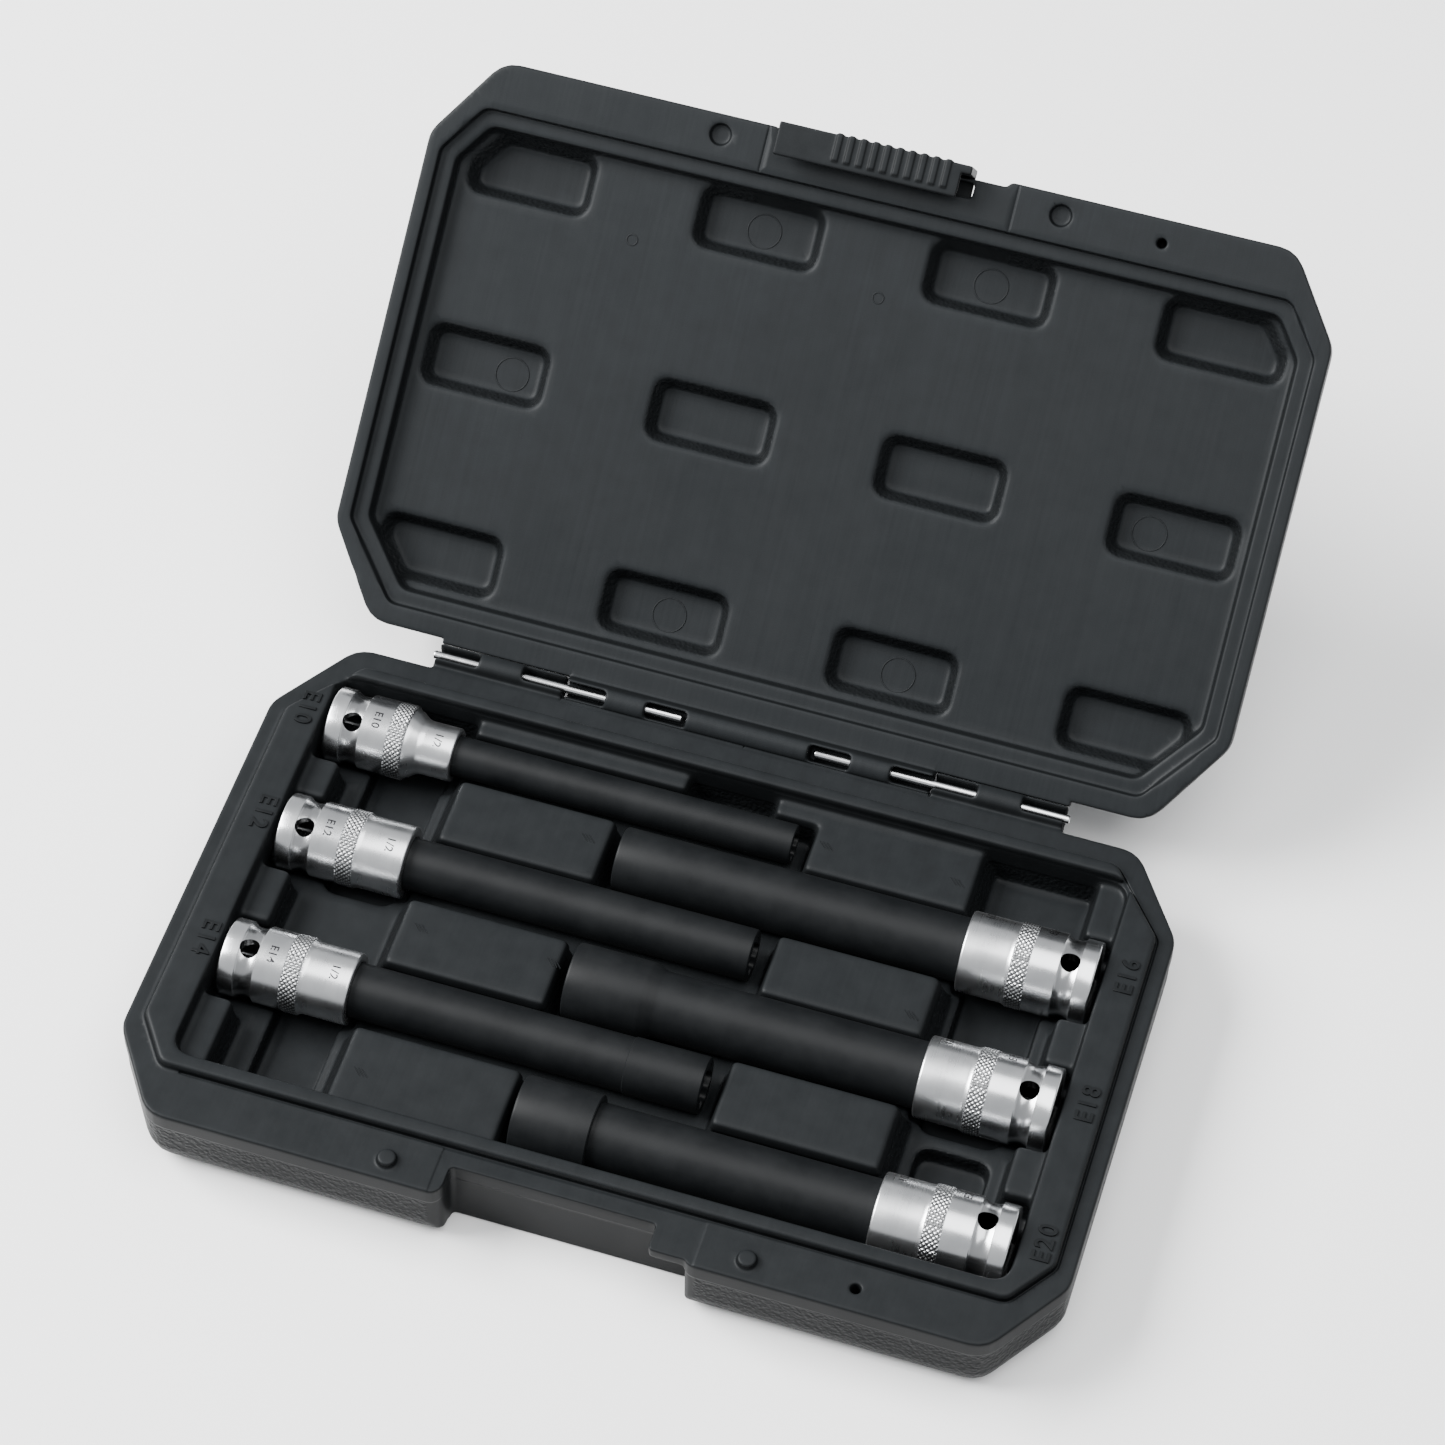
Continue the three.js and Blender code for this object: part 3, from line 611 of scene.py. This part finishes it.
def capped_mesh(name, rings):
    """A mesh through the rings, closed by a fan at the first ring and one at the last."""
    points = ring_points(rings)
    faces = []
    for k in range(len(rings) - 1):
        faces += faces_between(k, k + 1)
    first, last = len(points), len(points) + 1
    ends = np.array([[rings[0][0], 0, 0], [rings[-1][0], 0, 0]])
    points = np.concatenate([points, ends])
    faces += [(first, (i + 1) % AROUND, i) for i in range(AROUND)]
    base = (len(rings) - 1) * AROUND
    faces += [(last, base + i, base + (i + 1) % AROUND) for i in range(AROUND)]
    return mesh_of(name, points, faces)


def looped_mesh(name, rings):
    """A mesh through the rings, which come back round to the first one."""
    faces = []
    for k in range(len(rings)):
        faces += faces_between(k, (k + 1) % len(rings))
    return mesh_of(name, ring_points(rings), faces)


def mesh_of(name, points, faces):
    """A mesh from points in millimetres."""
    mesh = bpy.data.meshes.new(name)
    mesh.from_pydata((np.asarray(points) * MM).tolist(), [], faces)
    mesh.validate()
    return mesh


def arc(x0, r0, x1, r1, sag, steps=8):
    """Points from (x0, r0) to (x1, r1) that dip by sag at the middle."""
    t = np.linspace(0, 1, steps + 1)
    return [(x0 + (x1 - x0) * u, r0 + (r1 - r0) * u - sag * 4 * u * (1 - u)) for u in t]


def square_bore(half, corner):
    """Polar radius of a square hole with its corners eased."""
    c, s = np.abs(np.cos(ANGLES)), np.abs(np.sin(ANGLES))
    power = 14
    return half / (c**power + s**power) ** (1 / power) * (1 - corner * (2 * c * s) ** 8)


def star_bore(reach):
    return reach * (0.87 + 0.13 * np.cos(6 * ANGLES))


SOCKET_LENGTH = 140.0
DRIVE_HALF = 6.35
DRIVE_DEPTH = 15.5
NECK = (4.9, 10.2)
KNURL = (18.5, 23.5)
COLLAR_END = 37.8
KNURL_PITCH = 1.5
KNURL_DEPTH = 0.4
KNURL_RISE = 0.15
NECK_DEPTH = 1.2
CROSS_HOLE_AT = 7.5
CROSS_HOLE_RADIUS = 2.85
BAND_RADIUS = {"e10": 11.05, "e12": 11.05, "e14": 11.05, "e16": 12.2, "e18": 12.2, "e20": 12.2}
BODY_RADIUS = {"e10": 7.95, "e12": 10.6, "e14": 10.4, "e16": 11.7, "e18": 11.7, "e20": 11.7}
SHAFT_RADIUS = {"e10": 5.9, "e12": 7.55, "e14": 7.9, "e16": 9.4, "e18": 9.6, "e20": 9.35}
HEAD_RADIUS = {"e10": 5.9, "e12": 7.55, "e14": 8.2, "e16": 9.4, "e18": 11.1, "e20": 11.2}
HEAD_TAPER = {"e18": 4.0}
HEAD_START = 118.0
STAR_SIZE = {"e10": 9.42, "e12": 11.17, "e14": 12.9, "e16": 14.76, "e18": 16.7, "e20": 18.45}
STAR_DEPTH = 14.0
HOLE_TURN = {"e10": 24, "e12": 20, "e14": 11, "e16": -10, "e18": -11, "e20": 3}
SHARP_ANGLE = math.radians(38)
# How dark the neck and the bores are: the left sockets' cross holes face the light.
BORE_REACH = 9.6
NECK_SHADE = 0.35
BORE_SHADE = {-1: 0.55, 1: 1.0}


def socket_matrix(size):
    """From a socket's own axis, with x running from its drive end, to the frame."""
    collar_low, collar_high = node_box(f"socket_{size}_drive_collar")
    shaft_low, _ = node_box(f"socket_{size}_star_shaft")
    centre = (collar_low + collar_high) / 2
    left = collar_low[0] < shaft_low[0]
    x = collar_low[0] if left else collar_high[0]
    place = Matrix.Translation(Vector((x, centre[1], centre[2])) * MM)
    return place @ Matrix.Rotation(0 if left else math.pi, 4, "Z")


def knurl_rings(radius):
    """Rings of a diamond knurl between two plain edges."""
    start, end = KNURL
    count = round(2 * math.pi * radius / KNURL_PITCH)
    steps = math.ceil((end - start) / KNURL_PITCH * 6)
    around = ANGLES * count / (2 * math.pi)
    rings = []
    for k in range(steps + 1):
        x = start + (end - start) * k / steps
        along = (x - start) / KNURL_PITCH
        first = np.abs(2 * ((around + along) % 1) - 1)
        second = np.abs(2 * ((around - along) % 1) - 1)
        height = np.minimum(1, 1.35 * np.minimum(first, second))
        rise = KNURL_RISE if 0 < k < steps else 0.0
        rings.append((x, radius + rise - KNURL_DEPTH * (1 - height)))
    return rings


def collar_profile(size):
    band, body = BAND_RADIUS[size], BODY_RADIUS[size]
    neck_start, neck_end = NECK
    outer = [(0.0, band - 0.55), (0.08, band - 0.3), (0.3, band - 0.08), (0.6, band)]
    outer += [(neck_start - 0.15, band), (neck_start, band - 0.12)]
    outer += arc(neck_start, band - 0.4, neck_end, band - 0.4, NECK_DEPTH - 0.4, 12)
    outer += [(neck_end, band - 0.12), (neck_end + 0.15, band), (KNURL[0] - 0.12, band)]
    outer += [(KNURL[0] - 0.02, band - 0.2)]
    outer += knurl_rings(band)
    if size == "e10":
        outer += [(KNURL[1] + 0.15, band - 0.7), (KNURL[1] + 1.6, band - 1.3)]
        outer += [(KNURL[1] + 3.4, body + 0.55), (KNURL[1] + 4.4, body + 0.12), (KNURL[1] + 5.4, body)]
    else:
        fall = band - body
        outer += [(KNURL[1] + 0.1, band - 0.3 * fall), (KNURL[1] + 0.7, band - 0.8 * fall)]
        outer += [(KNURL[1] + 1.5, body)]
    outer += [(COLLAR_END - 0.7, body), (COLLAR_END - 0.3, body - 0.1), (COLLAR_END - 0.05, body - 0.4)]
    outer += [(COLLAR_END, body - 0.6)]
    return outer


def build_collar(size):
    """The chromed collar: square drive, necked end, knurled ring, and the bore that holds the shaft."""
    square = square_bore(DRIVE_HALF, 0.03)
    shaft = SHAFT_RADIUS[size]
    bore = [(COLLAR_END, shaft + 0.55), (COLLAR_END - 0.4, shaft + 0.15), (DRIVE_DEPTH + 3.0, shaft + 0.15)]
    bore += [(DRIVE_DEPTH + 3.0, 3.0), (DRIVE_DEPTH, 3.0)]
    bore += [(DRIVE_DEPTH, square), (0.8, square), (0.0, square * 1.09)]
    rings = collar_profile(size) + bore
    name = f"{size}_collar"
    mesh = looped_mesh(name, rings)
    obj = new_piece(name, mesh, socket_matrix(size))
    bore_through(obj, HOLE_TURN[size])
    side = -1 if obj.matrix_world.translation.x < 0 else 1
    mark_painted_shade(obj.data, BAND_RADIUS[size] + KNURL_RISE, BORE_SHADE[side])
    obj.data.shade_smooth()
    obj.data.set_sharp_from_angle(angle=SHARP_ANGLE)
    return obj


def mark_painted_shade(mesh, top, bore_shade):
    """Stores painted shade for each corner: how deep it lies in the knurl, a share on the neck, and the
    shade inside the bores.
    """
    points = np.empty(len(mesh.vertices) * 3)
    mesh.vertices.foreach_get("co", points)
    points = points.reshape(-1, 3) / MM
    depth = (top - np.hypot(points[:, 1], points[:, 2])) / KNURL_DEPTH
    in_knurl = (points[:, 0] > KNURL[0] + 0.05) & (points[:, 0] < KNURL[1] - 0.05) & (depth < 1.1)
    in_neck = (points[:, 0] > NECK[0] + 0.2) & (points[:, 0] < NECK[1] - 0.2) & (depth < 5)
    dark = np.where(in_knurl, np.clip(depth, 0, 1), np.where(in_neck, NECK_SHADE, 0))
    corners = np.empty(len(mesh.loops), np.int32)
    mesh.loops.foreach_get("vertex_index", corners)
    counts = np.empty(len(mesh.polygons), np.int32)
    mesh.polygons.foreach_get("loop_total", counts)
    centres = np.empty(len(mesh.polygons) * 3)
    mesh.polygons.foreach_get("center", centres)
    centres = centres.reshape(-1, 3) / MM
    inside = (np.hypot(centres[:, 1], centres[:, 2]) < BORE_REACH) & (centres[:, 0] > 0.5)
    inside &= centres[:, 0] < DRIVE_DEPTH + 0.2
    values = np.maximum(dark[corners], np.repeat(inside, counts) * bore_shade)
    attribute = mesh.attributes.new(SHADE_ATTRIBUTE, "FLOAT", "CORNER")
    attribute.data.foreach_set("value", values.astype(np.float32))


def bore_through(obj, turn):
    """Cuts the cross hole from one side of the neck into the square drive."""
    length, segments = 30.0, 48
    angles = np.arange(segments) * 2 * math.pi / segments
    radius = CROSS_HOLE_RADIUS
    circle = np.stack([CROSS_HOLE_AT + radius * np.cos(angles), radius * np.sin(angles)], 1)
    tilt = Matrix.Rotation(math.radians(turn), 3, "X")
    points = [tilt @ Vector((cx, cy, h)) * MM for h in (0.0, length) for cx, cy in circle]
    faces = [tuple(reversed(range(segments))), tuple(range(segments, 2 * segments))]
    faces += [(i, (i + 1) % segments, segments + (i + 1) % segments, segments + i) for i in range(segments)]
    mesh = bpy.data.meshes.new("cross_hole_tool")
    mesh.from_pydata([tuple(p) for p in points], [], faces)
    tool = new_piece("cross_hole_tool", mesh, obj.matrix_world.copy())
    modifier = obj.modifiers.new("cross_hole", "BOOLEAN")
    modifier.operation = "DIFFERENCE"
    modifier.solver = "EXACT"
    modifier.object = tool
    depsgraph = bpy.context.evaluated_depsgraph_get()
    result = bpy.data.meshes.new_from_object(obj.evaluated_get(depsgraph))
    obj.modifiers.clear()
    obj.data = result
    result.name = obj.name
    bpy.data.objects.remove(tool)


def build_shaft(size):
    """The black shaft with its star end; its inner end is hidden in the collar."""
    shaft, head = SHAFT_RADIUS[size], HEAD_RADIUS[size]
    star = star_bore(STAR_SIZE[size] / 2)
    outer = [(KNURL[0], shaft - 0.1), (KNURL[0] + 0.4, shaft)]
    outer += [(x, shaft) for x in np.linspace(COLLAR_END, HEAD_START - 6, 5)]
    if size in HEAD_TAPER:
        start = HEAD_START - HEAD_TAPER[size]
        outer += [(start - 0.4, shaft), (start + 0.4, shaft + 0.14)]
        outer += [(HEAD_START - 0.4, head - 0.14), (HEAD_START + 0.4, head)]
    elif head > shaft:
        outer += [(HEAD_START - 0.02, shaft), (HEAD_START, head - 0.25), (HEAD_START + 0.25, head)]
    else:
        outer += [(HEAD_START, shaft)]
    outer += [(SOCKET_LENGTH - 0.8, head), (SOCKET_LENGTH - 0.25, head - 0.15), (SOCKET_LENGTH, head - 0.5)]
    bore = [(SOCKET_LENGTH, star + 0.3), (SOCKET_LENGTH - 0.5, star), (SOCKET_LENGTH - STAR_DEPTH, star)]
    bore += [(SOCKET_LENGTH - STAR_DEPTH - 1.5, 0.4)]
    mesh = capped_mesh(f"{size}_shaft", outer + bore)
    mesh.shade_smooth()
    mesh.set_sharp_from_angle(angle=SHARP_ANGLE)
    return new_piece(f"{size}_shaft", mesh, socket_matrix(size))


PIN_TIP = 0.6


def build_pin(node, name):
    """A drawn wire pin with rounded ends."""
    low, high = node_box(node)
    radius = (high[2] - low[2]) / 2
    length = high[0] - low[0]
    tip = PIN_TIP
    quarter = np.linspace(0, math.pi / 2, 6)
    end = [(tip * (1 - math.cos(a)), radius - tip * (1 - math.sin(a))) for a in quarter]
    rings = end + [(length - x, r) for x, r in reversed(end)]
    mesh = capped_mesh(name, rings)
    mesh.shade_smooth()
    mesh.set_sharp_from_angle(angle=math.radians(50))
    centre = Vector((low[0], (low[1] + high[1]) / 2, (low[2] + high[2]) / 2)) * MM
    return new_piece(name, mesh, Matrix.Translation(centre))


# ---------------------------------------------------------------- lettering and small marks


# The share of a letter's size that a capital takes, and the places of the labels on the land.
CAP_SHARE = 0.69
LABEL_X = {-1: -123.0, 1: 125.8}
LABEL_DOWN = {-1: 1.4, 1: 0.2}
CORNER_LABEL_SHIFT = {"e10": (-1.1, -1.4)}
LABEL_HEIGHT = 4.9
LABEL_RISE = 0.42
LABEL_BEVEL = 0.08
LETTER_SWELL = 0.05
MARK_LIFT = 0.02
MARK_HEIGHT = 2.3
MARK_ANGLE = {-1: 12, 1: -40}
BODY_MARK_SHIFT = 2.0


def text_mesh(name, words, height, thickness, edge=0.0, spacing=1.0, swell=0.0):
    """Plain letters lying in the xy plane, centred on the origin, in millimetres."""
    curve = bpy.data.curves.new(name, "FONT")
    curve.body = words
    curve.size = height / CAP_SHARE
    curve.align_x = "CENTER"
    curve.align_y = "CENTER"
    curve.space_character = spacing
    curve.offset = swell
    curve.resolution_u = 5
    curve.extrude = thickness
    curve.bevel_depth = edge
    curve.bevel_resolution = 1
    obj = bpy.data.objects.new(name, curve)
    bpy.context.collection.objects.link(obj)
    bpy.context.view_layer.update()
    depsgraph = bpy.context.evaluated_depsgraph_get()
    mesh = bpy.data.meshes.new_from_object(obj.evaluated_get(depsgraph))
    bpy.data.objects.remove(obj)
    mesh.name = name
    return mesh


def build_label(size):
    """The size, in raised letters on the land beside its socket."""
    matrix = socket_matrix(size)
    side = -1 if matrix.translation.x < 0 else 1
    words = size.upper()
    mesh = text_mesh(f"{size}_label", words, LABEL_HEIGHT, LABEL_RISE, LABEL_BEVEL, 1.2, LETTER_SWELL)
    mesh.transform(Matrix.Scale(MM, 4))
    turn = Matrix.Rotation(side * math.pi / 2, 4, "Z")
    shift_x, shift_y = CORNER_LABEL_SHIFT.get(size, (0, 0))
    y = matrix.translation.y / MM - LABEL_DOWN[side] + shift_y
    place = Vector((LABEL_X[side] + shift_x, y, PARTING + LAND_HEIGHT)) * MM
    return new_piece(f"{size}_label", mesh, Matrix.Translation(place) @ turn)


def wrap_text(name, words, height, along, radius, angle):
    """Letters laid round a cylinder about the x axis, reading round it, their tops towards +x."""
    mesh = text_mesh(name, words, height, 0.0, spacing=1.1, swell=LETTER_SWELL)
    for vertex in mesh.vertices:
        x, y, _ = vertex.co
        turn = math.radians(angle) + x / radius
        vertex.co = Vector((along + y, -radius * math.sin(turn), radius * math.cos(turn))) * MM
    return mesh


def build_marks(size):
    """The size on the plain band of the collar, and the drive size on its body, as dark etching."""
    matrix = socket_matrix(size)
    side = -1 if matrix.translation.x < 0 else 1
    band = (NECK[1] + KNURL[0]) / 2
    body = (KNURL[1] + COLLAR_END) / 2 + BODY_MARK_SHIFT
    words = (
        ("size_mark", size.upper(), band, BAND_RADIUS[size]),
        ("drive_mark", "1/2", body, BODY_RADIUS[size]),
    )
    angle = -side * MARK_ANGLE[side]
    made = []
    for kind, text, along, radius in words:
        name = f"{size}_{kind}"
        mesh = wrap_text(name, text, MARK_HEIGHT, along, radius + MARK_LIFT, angle)
        made.append(new_piece(name, mesh, matrix))
    return made


PANEL_DEPTH = 7.5
DIMPLE_DEPTH = 6.1
FLOOR_DEPTH = PANEL_DEPTH + DIMPLE_DEPTH
RING_WIRE = 0.22
# Rings moulded on the closed lid: x, y, depth of the floor they lie on, and radius.
LID_RINGS = (
    (-33.9, -54.3, FLOOR_DEPTH, 5.0),
    (34.8, -54.3, FLOOR_DEPTH, 5.0),
    (-97.0, 4.0, FLOOR_DEPTH, 5.0),
    (97.0, 4.0, FLOOR_DEPTH, 5.0),
    (-33.8, 61.3, FLOOR_DEPTH, 5.0),
    (36.2, 61.6, FLOOR_DEPTH, 5.0),
    (-70.4, -42.6, PANEL_DEPTH, 1.6),
    (4.4, -43.1, PANEL_DEPTH, 1.6),
)


def ring_mesh(name, rings, wire, around=64, sides=8):
    """Thin round wires bent into flat rings (x, y, z, radius in millimetres), as one mesh."""
    points, faces = [], []
    for cx, cy, cz, radius in rings:
        first = len(points)
        for i, k in np.ndindex(around, sides):
            turn, roll = 2 * math.pi * i / around, 2 * math.pi * k / sides
            reach = radius + wire * math.cos(roll)
            point = (cx + reach * math.cos(turn), cy + reach * math.sin(turn), cz + wire * math.sin(roll))
            points.append(point)
            here, ahead, side = i * sides, (i + 1) % around * sides, (k + 1) % sides
            faces.append([first + n for n in (here + k, ahead + k, ahead + side, here + side)])
    mesh = mesh_of(name, points, faces)
    mesh.shade_smooth()
    return mesh


# Ridges on the pillows' decks: the size of one, and the places of the groups.
TICK = {"half": 1.25, "wide": 0.15, "rise": 0.2, "gap": 1.05, "sink": 0.3}
DECK = PARTING - 2.8
TICKS = (
    (-33.2, 41.8),
    (-68.2, -2.1),
    (-28.9, -1.7),
    (-68.0, -52.2),
    (32.3, 60.2),
    (71.3, 59.6),
    (71.1, 12.5),
)


def tick_mesh(name, groups, height):
    """Short slanting ridges side by side in threes, as one mesh."""
    half, wide, rise, sink = TICK["half"], TICK["wide"], TICK["rise"], TICK["sink"]
    points, faces = [], []
    for cx, cy in groups:
        for k in (-1, 0, 1):
            first = len(points)
            for end, share in ((-1, 0.3), (-0.7, 1.0), (0.7, 1.0), (1, 0.3)):
                x, y = cx + k * TICK["gap"] - end * half, cy + end * half
                top = rise * share
                section = ((-wide, -sink), (wide, -sink), (0.4 * wide, top), (-0.4 * wide, top))
                points += [(x + across, y + across, height + up) for across, up in section]
            for row in range(3):
                low, high = first + row * 4, first + row * 4 + 4
                faces += [(low + i, low + (i + 1) % 4, high + (i + 1) % 4, high + i) for i in range(4)]
            faces += [(first + 3, first + 2, first + 1, first), tuple(range(first + 12, first + 16))]
    return mesh_of(name, points, faces)


# ---------------------------------------------------------------- build everything

base_walls = wall_rule(0.0006, (PARTING - BAND_HEIGHT - 0.4) * MM)
lid_walls = wall_rule((PARTING + 6.5) * MM, LID_TOP * MM)
base_plastic = case_plastic("case_base_plastic", streak=0.35, walls=base_walls)
# The lid is the base's plastic at a lighter tone: painted light for how brightly the lid is lit.
lid_plastic = case_plastic("case_lid_plastic", streak=1.0, tone=1.17, walls=lid_walls)
slider_plastic = case_plastic("latch_plastic", streak=0.2)
# The letters are the case's plastic at a darker tone: painted shade standing in for the shadow of their low
# relief.
shaded_label_plastic = case_plastic("shaded_label_plastic", streak=0.2, tone=0.7)
chrome = turned_metal(
    "collar_chrome",
    dark=(0.66, 0.67, 0.685),
    light=(0.78, 0.79, 0.80),
    rough=(0.24, 0.33),
    ring=0.1,
    grain=0.16,
    bright_until=KNURL[0] * MM,
)
black_steel = turned_metal(
    "shaft_black_steel",
    dark=(0.0040, 0.0046, 0.0052),
    light=(0.0066, 0.0074, 0.0081),
    rough=(0.40, 0.52),
    ring=0.5,
    grain=0.5,
    metallic=0.0,
    fine=1500.0,
)
etching = turned_metal(
    "etched_mark",
    dark=(0.02, 0.02, 0.022),
    light=(0.04, 0.04, 0.042),
    rough=(0.5, 0.6),
    ring=0.2,
    grain=0.4,
)
bright_steel = turned_metal(
    "pin_steel",
    dark=(0.74, 0.75, 0.76),
    light=(0.82, 0.83, 0.84),
    rough=(0.16, 0.28),
    ring=0.2,
    grain=0.2,
)

base = new_piece("case_base_moulding", build_base())
set_material(base, base_plastic)
register(base, "base", "case_plastic", "case_base")

lid = new_piece("case_lid_moulding", build_lid(), OPENING)
set_material(lid, lid_plastic)
register(lid, "lid", "case_plastic", "case_lid")

slider = new_piece("latch_slider_moulding", build_slider())
set_material(slider, slider_plastic)
register(slider, "latch", "latch_plastic", "latch_slider")

lid_rings = [(x, y, PARTING + depth, radius) for x, y, depth, radius in LID_RINGS]
rings = new_piece("lid_mould_rings", ring_mesh("lid_mould_rings", lid_rings, RING_WIRE), OPENING)
set_material(rings, lid_plastic)
register(rings, "lid", "case_plastic")

ticks = new_piece("pillow_ticks", tick_mesh("pillow_ticks", TICKS, DECK))
set_material(ticks, base_plastic)
register(ticks, "base", "case_plastic")

for side in ("left", "right"):
    pin = build_pin(f"hinge_pin_{side}", f"hinge_wire_{side}")
    set_material(pin, bright_steel)
    register(pin, "base", "pin_steel", f"hinge_pin_{side}")

for size in SIZES:
    collar = build_collar(size)
    set_material(collar, chrome)
    register(collar, f"socket_{size}", "collar_chrome", f"socket_{size}_drive_collar")
    shaft = build_shaft(size)
    set_material(shaft, black_steel)
    register(shaft, f"socket_{size}", "shaft_black_steel", f"socket_{size}_star_shaft")
    label = build_label(size)
    set_material(label, shaded_label_plastic)
    register(label, "base", "case_plastic")
    for mark in build_marks(size):
        set_material(mark, etching)
        register(mark, f"socket_{size}", "collar_chrome")

# ---------------------------------------------------------------- floor, light and camera


# The floor, the lights and the camera, in metres.
FLOOR_HALF = 6.0
FLOOR_LEVEL = -0.0004
WORLD_STRENGTH = 0.65
LIGHT_TARGET = (0, 0.05, 0)
KEY_LIGHT = {"place": (-1.5, -0.1, 1.35), "size": (1.4, 1.1), "power": 130.0}
TOP_LIGHT = {"place": (0.5, -0.1, 2.0), "size": (1.8, 1.8), "power": 50.0}
CAMERA_AZIMUTH = math.radians(15.89)
CAMERA_ELEVATION = math.radians(53.47)
CAMERA_ROLL = math.radians(1.74)
CAMERA_LENS = 113.95
CAMERA_DISTANCE = 1.27446
CAMERA_AIM = (0.0190, 0.07153)


def add_floor():
    mesh = bpy.data.meshes.new("floor")
    signs = ((-1, -1), (1, -1), (1, 1), (-1, 1))
    corners = [(x * FLOOR_HALF, y * FLOOR_HALF, FLOOR_LEVEL) for x, y in signs]
    mesh.from_pydata(corners, [], [(0, 1, 2, 3)])
    floor = new_piece("floor", mesh)
    material, tree, shader = new_material("floor_paper")
    nodes = Nodes(tree)
    tone = nodes.noise(nodes.place(), 4.0)
    tree.links.new(nodes.colours(tone, (0.93, 0.93, 0.93), (0.95, 0.95, 0.95)), shader.inputs["Base Color"])
    shader.inputs["Roughness"].default_value = 0.9
    set_material(floor, material)


def add_area(name, place, size, power):
    light = bpy.data.lights.new(name, "AREA")
    light.shape = "RECTANGLE"
    light.size, light.size_y = size
    light.energy = power
    obj = bpy.data.objects.new(name, light)
    bpy.context.collection.objects.link(obj)
    obj.location = place
    obj.rotation_euler = (Vector(LIGHT_TARGET) - Vector(place)).to_track_quat("-Z", "Y").to_euler()


def add_world():
    world = bpy.data.worlds.new("studio")
    bpy.context.scene.world = world
    world.use_nodes = True
    background = world.node_tree.nodes["Background"]
    background.inputs["Color"].default_value = (0.96, 0.98, 1.0, 1)
    background.inputs["Strength"].default_value = WORLD_STRENGTH


def add_camera():
    az, el, roll = CAMERA_AZIMUTH, CAMERA_ELEVATION, CAMERA_ROLL
    back = Vector((math.sin(az) * math.cos(el), -math.cos(az) * math.cos(el), math.sin(el)))
    right = Vector((math.cos(az), math.sin(az), 0))
    up = back.cross(right)
    tilted_right = math.cos(roll) * right + math.sin(roll) * up
    tilted_up = -math.sin(roll) * right + math.cos(roll) * up
    camera = bpy.data.cameras.new("camera")
    camera.lens = CAMERA_LENS
    camera.sensor_width = 36.0
    camera.clip_end = 50.0
    obj = bpy.data.objects.new("camera", camera)
    bpy.context.collection.objects.link(obj)
    aim = CAMERA_AIM[0] * tilted_right + CAMERA_AIM[1] * tilted_up + Vector((0, 0, PARTING * MM))
    turn = Matrix((tilted_right, tilted_up, back)).transposed().to_4x4()
    obj.matrix_world = Matrix.Translation(aim + CAMERA_DISTANCE * back) @ turn
    bpy.context.scene.camera = obj


add_floor()
add_world()
add_area("key_light", **KEY_LIGHT)
add_area("top_light", **TOP_LIGHT)
add_camera()
